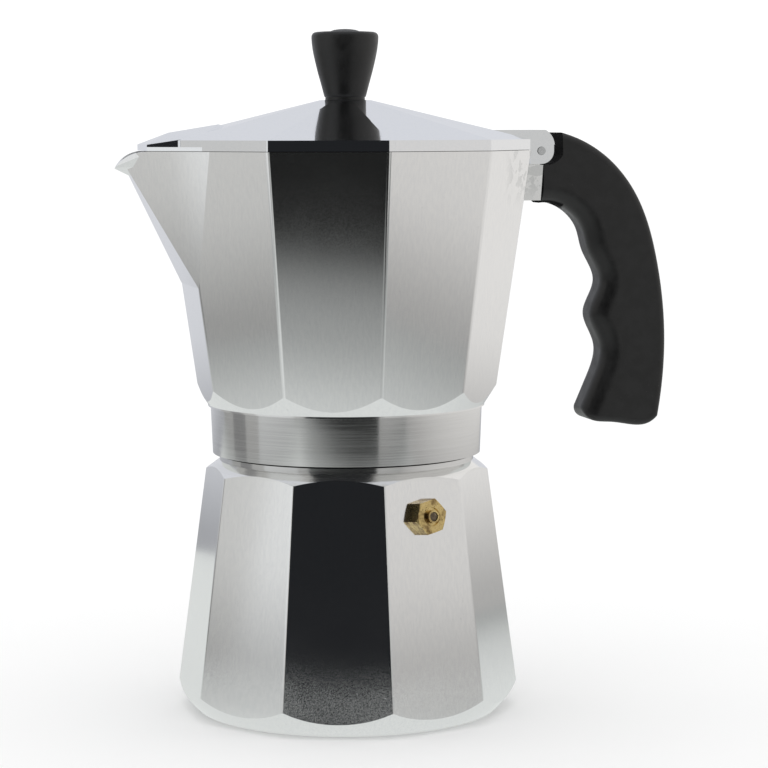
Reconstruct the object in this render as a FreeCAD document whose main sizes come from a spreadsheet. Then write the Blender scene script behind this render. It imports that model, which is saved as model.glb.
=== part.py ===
import FreeCAD, Part
import Sketcher
import math
import os

# A stove-top moka pot: a ten-sided cast aluminium boiler with a safety valve, a coffee basket and
# its funnel, and a ten-sided collector that screws down on it, with spout, handle and hinged lid.
# Origin: centre of the boiler's flat base. +Z is up, the handle points to +X, the spout to -X.

os.makedirs("parts", exist_ok=True)
doc = FreeCAD.newDocument("MokaPot")

SIDES = 10
FLAT = math.cos(math.pi / SIDES)      # a regular decagon's flat distance for a corner distance of 1
Z_AXIS = FreeCAD.Vector(0, 0, 1)
Y_AXIS = FreeCAD.Vector(0, 1, 0)

# ---------------------------------------------------------------- driving dimensions, millimetres

SIZES = {
    "Boiler": {
        "base_radius": 46.8,            # flat circle that stands on the stove
        "base_rounding": 26.9,          # radius of the rounding above that circle
        "base_flare": 9.2,              # how far out and how high that rounding would run
        "base_flare_level": 20.2,
        "boiler_corner_base": 54.1,     # corner distance of the ten sides, at the base
        "boiler_corner_top": 44.0,      # the same at the shoulder
        "shoulder_level": 74.2,
        "neck_radius": 39.4,            # smooth ring under the collar
        "neck_level": 77.6,
        "boiler_rim_level": 90.0,
        "boiler_wall": 3.3,
        "boiler_floor": 4.0,
        "boiler_turn": 1.9,             # degrees, where the tightened thread stops
        "edge_rounding": 2.1,
    },
    "Thread": {
        "thread_radius": 38.0,          # crest of the boiler's thread
        "thread_depth": 1.1,
        "thread_pitch": 3.0,
        "thread_clearance": 0.3,
        "thread_start": 81.2,
        "thread_turns": 2.5,
    },
    "Basket": {
        "basket_radius": 32.9,
        "basket_wall": 0.8,
        "basket_depth": 27.0,
        "basket_flange": 36.6,
        "sieve_thickness": 0.6,
        "sieve_hole": 0.9,              # radius of a hole
        "funnel_radius": 5.5,
        "funnel_wall": 0.9,
        "funnel_foot": 9.0,             # level of the tube's lower end
        "cone_height": 14.0,
    },
    "Seal": {
        "gasket_thickness": 3.0,
        "gasket_hole": 29.5,
        "gasket_radius": 37.4,
        "filter_radius": 31.0,
        "filter_thickness": 0.7,
        "filter_hole": 0.7,
        "seal_gap": 0.1,
    },
    "Collector": {
        "collar_level": 79.9,           # lower edge of the collar
        "collar_radius": 41.5,
        "collar_draft": 0.6,            # how much wider the collar is at its top
        "flange_level": 94.5,
        "flange_radius": 42.9,
        "flange_height": 0.5,
        "bowl_corner_level": 101.0,     # where the corners of the ten sides begin
        "collector_corner_base": 45.8,  # corner distance of the ten sides, at the flange
        "collector_corner_rim": 57.3,
        "rim_level": 172.9,
        "collector_wall": 3.0,
        "collector_floor": 3.5,
        "chimney_hole": 7.0,
    },
    "Column": {
        "column_base": 11.5,
        "column_top": 7.2,
        "column_bore": 5.4,
        "column_height": 54.0,
        "cap_height": 7.0,
        "cap_wall": 0.8,
        "press_gap": 0.05,
    },
    "Spout": {
        "spout_root_level": 132.0,
        "spout_tip": 70.7,              # how far the tip of the straight spout stands out, at the rim
        "spout_crease": 0.35,           # share of the neighbouring side that the spout takes
        "spout_wall": 2.0,
        "beak_reach": 72.0,
        "beak_level": 165.4,
        "droop_start": 62.5,
        "droop_radius": 10.3,
    },
    "Hinge": {
        "pin_reach": 60.7,              # hinge pin's distance from the axis
        "pin_level": 172.55,
        "pin_radius": 1.25,
        "pin_clearance": 0.06,
        "pin_overhang": 0.4,
        "hinge_width": 16.0,
        "ear_width": 8.4,
        "lug_radius": 4.05,
        "lug_back": 3.6,
        "tab_height": 6.5,              # top of the lid's tab above the pin
        "tab_ledge": 1.9,
        "hinge_clearance": 0.3,
        "lid_opening": 90.0,            # degrees
        "boss_level": 157.2,
        "boss_reach": 61.2,
    },
    "Lid": {
        "lid_gap": 0.15,
        "lid_band": 3.2,
        "lid_corner": 57.0,
        "lid_wall": 2.2,
        "crown_radius": 7.5,
        "crown_level": 188.3,
        "cover_front": 63.0,            # the cover over the spout
        "cover_front_width": 9.8,
        "cover_front_height": 1.9,
        "cover_rear": 48.5,
        "cover_rear_width": 16.0,
        "cover_rear_height": 4.2,
        "cover_plate": 1.2,             # thin plate under it, as wide as the spout
        "cover_plate_reach": 46.4,
        "cover_plate_width": 27.6,
        "ridge_front": 55.0,
        "ridge_front_level": 178.5,
        "ridge_rear": 39.6,
        "ridge_rear_level": 181.0,
    },
    "Knob": {
        "spacer_radius": 6.1,
        "spacer_height": 0.9,
        "knob_foot": 6.4,
        "knob_waist": 7.9,
        "knob_shoulder": 9.1,
        "knob_radius": 10.3,
        "knob_height": 19.9,
        "knob_edge": 1.5,
        "knob_dome": 4.8,
        "knob_dome_height": 0.9,
        "knob_screw": 2.0,
        "knob_screw_head": 3.9,
        "knob_screw_depth": 10.0,
    },
    "Handle": {
        "handle_width": 16.6,
        "handle_reach": 101.9,
        "handle_foot": 87.0,
        "handle_grip": 81.5,            # distance of the finger hollows from the axis
        "groove_depth": 3.5,
        "groove_pitch": 20.2,
        "upper_groove": 131.5,          # level of the upper finger hollow
        "handle_edge": 2.0,
        "handle_inner_edge": 5.5,       # fuller rounding on the side the fingers hold
        "tenon_length": 10.0,
        "tenon_width": 6.6,
        "tenon_height": 6.4,
        "tenon_gap": 0.15,
        "handle_screw": 1.5,
        "handle_screw_head": 2.9,
    },
    "Valve": {
        "valve_level": 64.3,
        "valve_turn": -72.0,            # degrees round the boiler
        "valve_body_radius": 3.9,
        "valve_flange": 6.2,
        "valve_flange_height": 1.6,
        "valve_washer": 1.0,
        "nut_across_flats": 9.7,
        "nut_height": 3.7,
        "nut_twist": 42.0,
        "sleeve_radius": 1.95,
        "sleeve_stands": 1.2,
        "chamber_radius": 2.7,
        "inlet_radius": 1.2,
        "stem_radius": 1.25,
        "stem_clearance": 0.15,
        "plunger_travel": 1.0,
        "spring_wire": 0.45,
        "spring_turns": 4.0,
        "spot_face": 7.2,
        "valve_gap": 0.05,
    },
}

sheet = doc.addObject("Spreadsheet::Sheet", "Sizes")
row = 1
for group, sizes in SIZES.items():
    for alias, number in sizes.items():
        sheet.set(f"A{row}", group)
        sheet.set(f"B{row}", alias)
        sheet.set(f"C{row}", str(number))
        sheet.setAlias(f"C{row}", alias)
        row += 1
doc.recompute()


class Size(float):
    """A length that keeps the formula it came from, so that a feature can be bound to the sheet."""

    def __new__(cls, number, formula):
        size = super().__new__(cls, number)
        size.formula = formula
        return size


def formula_of(value):
    return value.formula if isinstance(value, Size) else repr(float(value))


def operation(sign, work):
    def forward(one, other):
        return Size(work(float(one), float(other)), f"({formula_of(one)} {sign} {formula_of(other)})")

    def backward(one, other):
        return Size(work(float(other), float(one)), f"({formula_of(other)} {sign} {formula_of(one)})")

    return forward, backward


Size.__add__, Size.__radd__ = operation("+", lambda one, other: one + other)
Size.__sub__, Size.__rsub__ = operation("-", lambda one, other: one - other)
Size.__mul__, Size.__rmul__ = operation("*", lambda one, other: one * other)
Size.__truediv__, Size.__rtruediv__ = operation("/", lambda one, other: one / other)
Size.__neg__ = lambda one: Size(-float(one), f"(-{one.formula})")


def size(alias):
    return Size(sheet.getPropertyByName(alias), f"Sizes.{alias}")


def bind(thing, path, value):
    """Tie one property of a feature to the sheet's formula."""
    if isinstance(value, Size):
        thing.setExpression(path, value.formula)
    else:
        thing.setExpression(path, repr(float(value)))


# ------------------------------------------------------------------------------- sketching helpers

subparts = []


def new_body(label):
    body = doc.addObject("PartDesign::Body", label)
    body.Label = label
    subparts.append(body)
    return body


def origin_plane(body, role):
    for feature in body.Origin.OriginFeatures:
        if feature.Role == role:
            return feature
    raise ValueError(role)


def new_sketch(body, name, role="XZ_Plane", level=None):
    sketch = body.newObject("Sketcher::SketchObject", name)
    sketch.AttachmentSupport = [(origin_plane(body, role), "")]
    sketch.MapMode = "FlatFace"
    if level is not None:
        bind(sketch, "AttachmentOffset.Base.z", level)
    return sketch


def pin_point(sketch, line, end, x, z):
    """Hold one end of a line at a distance from the sketch's origin in both directions."""
    for kind, place in (("DistanceX", x), ("DistanceY", z)):
        if float(place) == 0.0 and not isinstance(place, Size):
            axis = -2 if kind == "DistanceX" else -1
            sketch.addConstraint(Sketcher.Constraint("PointOnObject", line, end, axis))
        else:
            index = sketch.addConstraint(Sketcher.Constraint(kind, -1, 1, line, end, float(place)))
            bind(sketch, f"Constraints[{index}]", place)


def outline(sketch, corners, arcs=()):
    """Close a loop through the corners. arcs holds (corner number, radius) for sides that bulge out."""
    import_arcs = dict(arcs)
    count = len(corners)
    for number in range(count):
        start = FreeCAD.Vector(float(corners[number][0]), float(corners[number][1]), 0)
        ending = corners[(number + 1) % count]
        end = FreeCAD.Vector(float(ending[0]), float(ending[1]), 0)
        if number in import_arcs:
            radius = float(import_arcs[number])
            chord = end - start
            across = FreeCAD.Vector(-chord.y, chord.x, 0).normalize()
            rise = math.sqrt(radius ** 2 - (chord.Length / 2) ** 2)
            middle = start + chord / 2 + across * (rise - radius)
            sketch.addGeometry(Part.Arc(start, middle, end), False)
        else:
            sketch.addGeometry(Part.LineSegment(start, end), False)
    for number in range(count):
        following = (number + 1) % count
        sketch.addConstraint(Sketcher.Constraint("Coincident", number, 2, following, 1))
    for number in range(count):
        pin_point(sketch, number, 1, *corners[number])
    for number, radius in import_arcs.items():
        index = sketch.addConstraint(Sketcher.Constraint("Radius", number, float(radius)))
        bind(sketch, f"Constraints[{index}]", radius)
    return sketch


def regular_outline(sketch, sides, corner_distance, turn=0.0):
    """A regular polygon round the sketch's origin, its first corner at the angle turn."""
    for number in range(sides):
        ends = []
        for corner in (number, number + 1):
            angle = turn + corner * 2 * math.pi / sides
            ends.append(FreeCAD.Vector(math.cos(angle), math.sin(angle), 0) * float(corner_distance))
        sketch.addGeometry(Part.LineSegment(*ends), False)
    for number in range(sides):
        angle = turn + number * 2 * math.pi / sides
        sketch.addConstraint(Sketcher.Constraint("Coincident", number, 2, (number + 1) % sides, 1))
        pin_point(sketch, number, 1, corner_distance * math.cos(angle), corner_distance * math.sin(angle))
    return sketch


def circle_outline(sketch, radius, x=0.0, y=0.0):
    centre = FreeCAD.Vector(float(x), float(y), 0)
    index = sketch.addGeometry(Part.Circle(centre, FreeCAD.Vector(0, 0, 1), float(radius)), False)
    ring = sketch.addConstraint(Sketcher.Constraint("Radius", index, float(radius)))
    bind(sketch, f"Constraints[{ring}]", radius)
    pin_point(sketch, index, 3, x, y)
    return sketch


def revolve(body, name, corners, arcs=(), remove=False):
    """Turn an outline in the XZ plane about the body's own Z axis."""
    kind = "PartDesign::Groove" if remove else "PartDesign::Revolution"
    before = body.Shape.Volume if remove else 0.0
    sketch = outline(new_sketch(body, name + "_outline"), corners, arcs)
    turn = body.newObject(kind, name)
    turn.Profile = sketch
    turn.ReferenceAxis = (sketch, ["V_Axis"])
    turn.Angle = 360
    doc.recompute()
    if remove and not body.Shape.Volume < before:
        raise ValueError(f"{name} removed nothing")
    return turn


def extrude(body, name, sketch, length, remove=False, both=False, reverse=False):
    feature = body.newObject("PartDesign::Pocket" if remove else "PartDesign::Pad", name)
    before = body.Shape.Volume if remove else 0.0
    feature.Profile = sketch
    bind(feature, "Length", length)
    feature.Midplane = both
    feature.Reversed = reverse
    doc.recompute()
    if remove and not body.Shape.Volume < before:
        raise ValueError(f"{name} removed nothing")
    return feature


def ring_of_holes(body, name, sketch, depth, count, reverse=False):
    """Cut one hole and repeat it about the Z axis."""
    hole = extrude(body, name, sketch, depth, remove=True, reverse=reverse)
    pattern = body.newObject("PartDesign::PolarPattern", name + "_ring")
    pattern.Originals = [hole]
    pattern.Axis = (sketch, ["N_Axis"])
    pattern.Angle = 360
    pattern.Occurrences = count
    body.Tip = pattern
    doc.recompute()
    return pattern


def thread_ridge(body, name, corners, pitch, turns):
    """Wind a ridge of this outline up the Z axis as a right-hand thread."""
    sketch = outline(new_sketch(body, name + "_outline"), corners)
    ridge = body.newObject("PartDesign::AdditiveHelix", name)
    ridge.Profile = sketch
    ridge.ReferenceAxis = (sketch, ["V_Axis"])
    ridge.Mode = "pitch-turns-angle"
    bind(ridge, "Pitch", pitch)
    bind(ridge, "Turns", turns)
    doc.recompute()
    return ridge



def corner_edges(shape):
    """The numbers of the slanted edges where two of the sides meet."""
    numbers = []
    for number, edge in enumerate(shape.Edges, 1):
        ends = [vertex.Point for vertex in edge.Vertexes]
        if len(ends) == 2 and abs(ends[0].z - ends[1].z) > 0.5:
            numbers.append(number)
    return numbers


def ten_sided(name, low, low_corner, high, high_corner, rounding):
    """A solid with ten sloping sides between two levels, its long edges rounded."""
    ends = []
    for place, level, corner in (("foot", low, low_corner), ("head", high, high_corner)):
        polygon = doc.addObject("Part::RegularPolygon", f"{name}_{place}")
        polygon.Polygon = SIDES
        bind(polygon, "Circumradius", corner)
        bind(polygon, "Placement.Base.z", level)
        polygon.Placement.Rotation = FreeCAD.Rotation(Z_AXIS, 180.0 / SIDES)
        ends.append(polygon)
    block = doc.addObject("Part::Loft", f"{name}_block")
    block.Sections = ends
    block.Solid = True
    block.Ruled = True
    doc.recompute()
    rounded = doc.addObject("Part::Fillet", name)
    rounded.Base = block
    rounded.Edges = [(number, float(rounding), float(rounding)) for number in corner_edges(block.Shape)]
    doc.recompute()
    return rounded


def shaped(label, shape):
    """A piece whose shape is put together from Part's own solids."""
    feature = doc.addObject("Part::Feature", label)
    feature.Label = label
    feature.Shape = shape
    return feature


def joined(label, pieces):
    fuse = doc.addObject("Part::MultiFuse", label)
    fuse.Label = label
    fuse.Shapes = pieces
    fuse.Refine = True
    return fuse


def without(label, base, tool):
    cut = doc.addObject("Part::Cut", label)
    cut.Label = label
    cut.Base = base
    cut.Tool = tool
    cut.Refine = True
    return cut


def polyhedron(corners, faces):
    """A closed solid from named corners and the loops of corner names round its faces."""
    sides = []
    for loop in faces:
        points = [FreeCAD.Vector(*corners[name]) for name in loop]
        sides.append(Part.Face(Part.makePolygon(points + points[:1])))
    solid = Part.makeSolid(Part.makeShell(sides))
    if solid.Volume < 0:
        solid.reverse()
    return solid


def prism(points, half_width):
    """An outline of (x, z) points in the XZ plane, given thickness both ways along Y."""
    loop = [FreeCAD.Vector(x, -half_width, z) for x, z in points]
    face = Part.Face(Part.makePolygon(loop + loop[:1]))
    return face.extrude(FreeCAD.Vector(0, 2 * half_width, 0))


def bar(radius, x, z, half_width):
    """A round bar along Y."""
    return Part.makeCylinder(radius, 2 * half_width, FreeCAD.Vector(x, -half_width, z), Y_AXIS)


def along(low, low_value, high, high_value, level):
    """Straight line through two values, read at a level."""
    return low_value + (high_value - low_value) * ((level - low) / (high - low))


# ------------------------------------------------------------------------------------------ boiler
# Cast aluminium water chamber. Its ten sides end in a cone at the shoulder and in a rounding at the
# base; the neck carries a right-hand thread, and one side has a seat for the safety valve.

collar_level = size("collar_level")
rim = size("boiler_rim_level")
wall = size("boiler_wall")
neck_radius, neck_level = size("neck_radius"), size("neck_level")
shoulder_level = size("shoulder_level")
corner_base, corner_top = size("boiler_corner_base"), size("boiler_corner_top")
thread_crest = size("thread_radius")
thread_core = thread_crest - size("thread_depth")
mouth = thread_core - wall
outside = corner_base + 8.0


def boiler_corner(level):
    return along(0.0, corner_base, shoulder_level, corner_top, level)


boiler_sides = ten_sided("boiler_sides", 0.0, corner_base, neck_level, boiler_corner(neck_level),
                         size("edge_rounding"))
shoulder_slope = (neck_level - shoulder_level) / (corner_top - neck_radius)
boiler_turning = doc.addObject("PartDesign::Body", "boiler_turning")
revolve(boiler_turning, "boiler_envelope", [
    (0.0, 0.0),
    (size("base_radius"), 0.0),
    (size("base_radius") + size("base_flare"), size("base_flare_level")),
    (outside, size("base_flare_level")),
    (outside, neck_level - (outside - neck_radius) * shoulder_slope),
    (neck_radius, neck_level),
    (0.0, neck_level),
], arcs=[(1, size("base_rounding"))])
boiler_outer = doc.addObject("Part::Common", "boiler_outer")
boiler_outer.Base, boiler_outer.Tool = boiler_sides, boiler_turning

boiler_neck = doc.addObject("PartDesign::Body", "boiler_neck")
revolve(boiler_neck, "neck", [
    (0.0, neck_level - 4.0),
    (neck_radius, neck_level - 4.0),
    (neck_radius, collar_level - 0.7),
    (thread_core, collar_level - 0.2),
    (thread_core, rim),
    (0.0, rim),
])
pitch = size("thread_pitch")
thread_start = size("thread_start")
half_pitch = pitch / 2.0
RIDGE_FOOT = 0.62                      # half widths of a thread ridge, as shares of half a pitch
RIDGE_CREST = 0.2
EMBED = 0.25                           # how far a ridge's foot sinks into the metal that carries it
thread_ridge(boiler_neck, "boiler_thread", [
    (thread_core - EMBED, thread_start - half_pitch * RIDGE_FOOT),
    (thread_crest, thread_start - half_pitch * RIDGE_CREST),
    (thread_crest, thread_start + half_pitch * RIDGE_CREST),
    (thread_core - EMBED, thread_start + half_pitch * RIDGE_FOOT),
], pitch, size("thread_turns"))

floor = size("boiler_floor")
water_space = doc.addObject("PartDesign::Body", "water_space")
revolve(water_space, "water_space_turning", [
    (0.0, floor),
    (size("base_radius") - wall - 3.0, floor),
    (boiler_corner(12.0) * FLAT - wall, 12.0),
    (boiler_corner(shoulder_level - 3.0) * FLAT - wall, shoulder_level - 3.0),
    (mouth, neck_level + 2.0),
    (mouth, rim + 1.0),
    (0.0, rim + 1.0),
])

# The valve's frame: w runs out along the side's own normal, zero on the side's outer face.
valve_level = size("valve_level")
side_slope = math.atan((corner_base - corner_top) * FLAT / shoulder_level)
valve_angle = math.radians(size("valve_turn") + size("boiler_turn"))
valve_reach = boiler_corner(valve_level) * FLAT
valve_out = FreeCAD.Vector(
    math.cos(valve_angle) * math.cos(side_slope),
    math.sin(valve_angle) * math.cos(side_slope),
    math.sin(side_slope),
)
valve_point = FreeCAD.Vector(
    math.cos(valve_angle) * valve_reach, math.sin(valve_angle) * valve_reach, valve_level
)


def valve_place(spin=0.0):
    """Stand a piece that was made along Z on the valve's side of the boiler."""
    turn = FreeCAD.Rotation(Z_AXIS, math.degrees(valve_angle))
    lean = FreeCAD.Rotation(Y_AXIS, 90.0 - math.degrees(side_slope))
    return FreeCAD.Placement(valve_point, turn * lean * FreeCAD.Rotation(Z_AXIS, spin))


SEAT_DEPTH = wall - 0.8                # wall that is left under the flat seat inside
for piece in (boiler_sides, boiler_turning, boiler_neck, water_space):
    bind(piece, "Placement.Rotation.Angle", size("boiler_turn"))
valve_hole = doc.addObject("Part::Cylinder", "valve_hole")
bind(valve_hole, "Radius", size("valve_body_radius") + size("valve_gap"))
valve_hole.Height = 30
valve_hole.Placement = valve_place() * FreeCAD.Placement(FreeCAD.Vector(0, 0, -15), FreeCAD.Rotation())
valve_seat = doc.addObject("Part::Cylinder", "valve_seat")
bind(valve_seat, "Radius", size("spot_face"))
valve_seat.Height = 12
valve_seat.Placement = valve_place() * FreeCAD.Placement(
    FreeCAD.Vector(0, 0, -12 - SEAT_DEPTH), FreeCAD.Rotation())
boiler = without("boiler", joined("boiler_solid", [boiler_outer, boiler_neck]),
                 joined("boiler_cuts", [water_space, valve_hole, valve_seat]))
subparts.append(boiler)

# ----------------------------------------------------------------------------------- safety valve
# Brass body pushed in from inside with a soft washer, held by the hexagon nut outside. A sprung
# plunger closes the inlet, and its stem stands in the nut's short sleeve.

gap = size("valve_gap")
shank = size("valve_body_radius")
washer_face = -SEAT_DEPTH - gap
flange_face = washer_face - size("valve_washer")
flange_back = flange_face - size("valve_flange_height")
nut_height = size("nut_height")
NUT_FRONT = 1.0
nut_bore = nut_height - NUT_FRONT
chamber = size("chamber_radius")
seat_level = flange_back + 1.0

valve_body = new_body("safety_valve_body")
revolve(valve_body, "valve_body_turning", [
    (size("inlet_radius"), flange_back),
    (size("valve_flange"), flange_back),
    (size("valve_flange"), flange_face),
    (shank, flange_face),
    (shank, nut_bore - gap),
    (chamber, nut_bore - gap),
    (chamber, seat_level),
    (size("inlet_radius"), seat_level),
])
valve_washer = new_body("safety_valve_washer")
revolve(valve_washer, "washer_ring", [
    (shank + gap, flange_face + gap / 2.0),
    (size("valve_flange"), flange_face + gap / 2.0),
    (size("valve_flange"), washer_face),
    (shank + gap, washer_face),
])
valve_nut = new_body("safety_valve_nut")
nut_corner = size("nut_across_flats") / math.sqrt(3.0)
extrude(valve_nut, "nut_hexagon", regular_outline(
    new_sketch(valve_nut, "nut_outline", "XY_Plane", gap), 6, nut_corner), nut_height)
NUT_CHAMFER = 0.7
revolve(valve_nut, "nut_chamfer", [
    (size("nut_across_flats") / 2.0, nut_height + gap),
    (nut_corner + 1.0, nut_height + gap - NUT_CHAMFER),
    (nut_corner + 1.0, nut_height + 3.0),
    (size("nut_across_flats") / 2.0, nut_height + 3.0),
], remove=True)
GROOVE_WIDTH = 0.9
revolve(valve_nut, "nut_groove", [
    (size("sleeve_radius"), nut_height - 0.5),
    (size("sleeve_radius") + GROOVE_WIDTH, nut_height - 0.5),
    (size("sleeve_radius") + GROOVE_WIDTH, nut_height + 3.0),
    (size("sleeve_radius"), nut_height + 3.0),
], remove=True)
revolve(valve_nut, "nut_sleeve", [
    (0.0, nut_height - 0.5),
    (size("sleeve_radius"), nut_height - 0.5),
    (size("sleeve_radius"), nut_height + size("sleeve_stands")),
    (0.0, nut_height + size("sleeve_stands")),
])
revolve(valve_nut, "nut_bore_cut", [
    (0.0, -1.0),
    (shank + gap, -1.0),
    (shank + gap, nut_bore),
    (size("stem_radius") + size("stem_clearance"), nut_bore),
    (size("stem_radius") + size("stem_clearance"), nut_height + 5.0),
    (0.0, nut_height + 5.0),
], remove=True)

HEAD_THICKNESS = 1.2
stem_end = nut_height + size("sleeve_stands") - 0.3
head_top = seat_level + gap + HEAD_THICKNESS
valve_plunger = new_body("safety_valve_plunger")
revolve(valve_plunger, "plunger_turning", [
    (0.0, seat_level + gap),
    (chamber - 0.35, seat_level + gap),
    (chamber - 0.35, head_top),
    (size("stem_radius"), head_top),
    (size("stem_radius"), stem_end),
    (0.0, stem_end),
])
wire = size("spring_wire") / 2.0
coil = (chamber + size("stem_radius")) / 2.0
spring_foot = head_top + wire + 0.02
spring_length = nut_bore - size("plunger_travel") - 0.15 - 2.0 * wire - head_top
valve_spring = new_body("safety_valve_spring")
spring_sketch = circle_outline(new_sketch(valve_spring, "spring_wire_outline"), wire, coil, spring_foot)
spring_coils = valve_spring.newObject("PartDesign::AdditiveHelix", "spring_coils")
spring_coils.Profile = spring_sketch
spring_coils.ReferenceAxis = (spring_sketch, ["V_Axis"])
spring_coils.Mode = "height-turns-angle"
bind(spring_coils, "Height", spring_length)
bind(spring_coils, "Turns", size("spring_turns"))

for piece in (valve_body, valve_washer, valve_plunger, valve_spring):
    piece.Placement = valve_place()
valve_nut.Placement = valve_place(size("nut_twist"))

# ------------------------------------------------------------------------- coffee basket and funnel
# Thin aluminium: the basket hangs from the boiler's rim by its flange, a punched sieve closes it,
# and the funnel's cone and tube are crimped on underneath.

basket_gap = 0.05
basket_radius = size("basket_radius")
basket_wall = size("basket_wall")
basket_top = rim + basket_gap + basket_wall
basket_bottom = rim - size("basket_depth")
basket = new_body("coffee_basket")
LEDGE = 2.5                            # inward step that carries the sieve
revolve(basket, "basket_pressing", [
    (basket_radius - LEDGE, basket_bottom),
    (basket_radius, basket_bottom),
    (basket_radius, rim + basket_gap),
    (size("basket_flange"), rim + basket_gap),
    (size("basket_flange"), basket_top),
    (basket_radius - basket_wall, basket_top),
    (basket_radius - basket_wall, basket_bottom + basket_wall),
    (basket_radius - LEDGE, basket_bottom + basket_wall),
])


def sieve_plate(label, radius, level, thickness, hole):
    """A round plate punched with rings of holes."""
    plate = new_body(label)
    disc = circle_outline(new_sketch(plate, label + "_disc", "XY_Plane", level), radius)
    extrude(plate, label + "_plate", disc, thickness)
    for ring in range(1, 6):
        distance = radius * (ring / 6.0)
        sketch = new_sketch(plate, f"{label}_hole_{ring}", "XY_Plane", level + thickness)
        circle_outline(sketch, hole, distance, 0.0)
        ring_of_holes(plate, f"{label}_holes_{ring}", sketch, thickness * 2.0, 6 * ring)
    return plate


sieve_plate("basket_sieve", basket_radius - basket_wall - basket_gap,
            basket_bottom + basket_wall + basket_gap, size("sieve_thickness"), size("sieve_hole"))

funnel = new_body("funnel_tube")
funnel_wall = size("funnel_wall")
tube = size("funnel_radius")
cone_top = basket_bottom - basket_gap
cone_foot = cone_top - size("cone_height")
revolve(funnel, "funnel_pressing", [
    (tube - funnel_wall, size("funnel_foot")),
    (tube, size("funnel_foot")),
    (tube, cone_foot),
    (basket_radius, cone_top - funnel_wall),
    (basket_radius, cone_top),
    (basket_radius - LEDGE, cone_top),
    (tube - funnel_wall, cone_foot + funnel_wall),
])

# ------------------------------------------------------------------------------ gasket and filter
# Rubber ring in the collector's underside; its inner groove carries the round filter plate.

gasket_low = basket_top + size("seal_gap")
gasket_top = gasket_low + size("gasket_thickness")
filter_low = gasket_low + (size("gasket_thickness") - size("filter_thickness")) / 2.0
filter_top = filter_low + size("filter_thickness")
gasket = new_body("gasket")
revolve(gasket, "gasket_ring", [
    (size("gasket_hole"), gasket_low),
    (size("gasket_radius"), gasket_low),
    (size("gasket_radius"), gasket_top),
    (size("gasket_hole"), gasket_top),
    (size("gasket_hole"), filter_top + basket_gap),
    (size("filter_radius") + basket_gap, filter_top + basket_gap),
    (size("filter_radius") + basket_gap, filter_low - basket_gap),
    (size("gasket_hole"), filter_low - basket_gap),
])
sieve_plate("filter_plate", size("filter_radius"), filter_low, size("filter_thickness"),
            size("filter_hole"))

# --------------------------------------------------------------------------------------- collector
# Cast aluminium upper pot: ten sides that widen to the rim, a round bowl bottom above a smooth
# flange, a collar with the female thread, a V-shaped spout and a boss with the hinge's ear.

flange_level = size("flange_level")
rim_level = size("rim_level")
collector_low, collector_high = size("collector_corner_base"), size("collector_corner_rim")
cast_wall = size("collector_wall")
collar_radius = size("collar_radius")
female_wall = thread_crest + size("thread_clearance")
female_crest = thread_core + size("thread_clearance")
seat_top = gasket_top + size("seal_gap") / 2.0
inner_floor = seat_top + size("collector_floor")


def collector_corner(level):
    return along(flange_level, collector_low, rim_level, collector_high, level)


collector_sides = ten_sided("collector_sides", flange_level, collector_low, rim_level, collector_high,
                            size("edge_rounding"))
far_out = collector_high + 8.0
bowl_corner = size("bowl_corner_level")
flange_radius = size("flange_radius")
flange_top = flange_level + size("flange_height")
bowl_slope = (collector_corner(bowl_corner) - flange_radius) / (bowl_corner - flange_top)
collector_turning = doc.addObject("PartDesign::Body", "collector_turning")
revolve(collector_turning, "bowl_envelope", [
    (0.0, flange_level),
    (flange_radius, flange_level),
    (flange_radius, flange_top),
    (far_out, flange_top + (far_out - flange_radius) / bowl_slope),
    (far_out, rim_level),
    (0.0, rim_level),
])
collector_outer = doc.addObject("Part::Common", "collector_outer")
collector_outer.Base, collector_outer.Tool = collector_sides, collector_turning

collar = doc.addObject("PartDesign::Body", "collar")
revolve(collar, "collar_turning", [
    (0.0, seat_top),
    (female_wall, seat_top),
    (female_wall, collar_level),
    (collar_radius, collar_level),
    (collar_radius + size("collar_draft"), flange_level),
    (flange_radius, flange_level),
    (flange_radius, flange_top),
    (0.0, flange_top),
])
thread_ridge(collar, "collector_thread", [
    (female_wall + EMBED, thread_start + half_pitch - half_pitch * RIDGE_FOOT),
    (female_wall + EMBED, thread_start + half_pitch + half_pitch * RIDGE_FOOT),
    (female_crest, thread_start + half_pitch + half_pitch * RIDGE_CREST),
    (female_crest, thread_start + half_pitch - half_pitch * RIDGE_CREST),
], pitch, size("thread_turns"))

# The bowl's inside: ten sides again, with a cone for the rounded bottom.
inner_corner_low = collector_corner(inner_floor) - cast_wall / FLAT
inner_corner_high = collector_high - cast_wall / FLAT + 0.15
BOWL_RISE = 5.0
bowl_sides = ten_sided("bowl_sides", inner_floor, inner_corner_low, rim_level + 1.0, inner_corner_high,
                       size("edge_rounding"))
bowl_turning = doc.addObject("PartDesign::Body", "bowl_turning")
revolve(bowl_turning, "bowl_inner_envelope", [
    (0.0, inner_floor),
    (inner_corner_low * FLAT - BOWL_RISE, inner_floor),
    (far_out, inner_floor + far_out - (inner_corner_low * FLAT - BOWL_RISE)),
    (far_out, rim_level + 1.0),
    (0.0, rim_level + 1.0),
])
bowl_inside = doc.addObject("Part::Common", "bowl_inside")
bowl_inside.Base, bowl_inside.Tool = bowl_sides, bowl_turning
chimney_hole = doc.addObject("Part::Cylinder", "chimney_hole")
bind(chimney_hole, "Radius", size("chimney_hole"))
bind(chimney_hole, "Height", inner_floor - seat_top + 2.0)
bind(chimney_hole, "Placement.Base.z", seat_top - 1.0)


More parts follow.
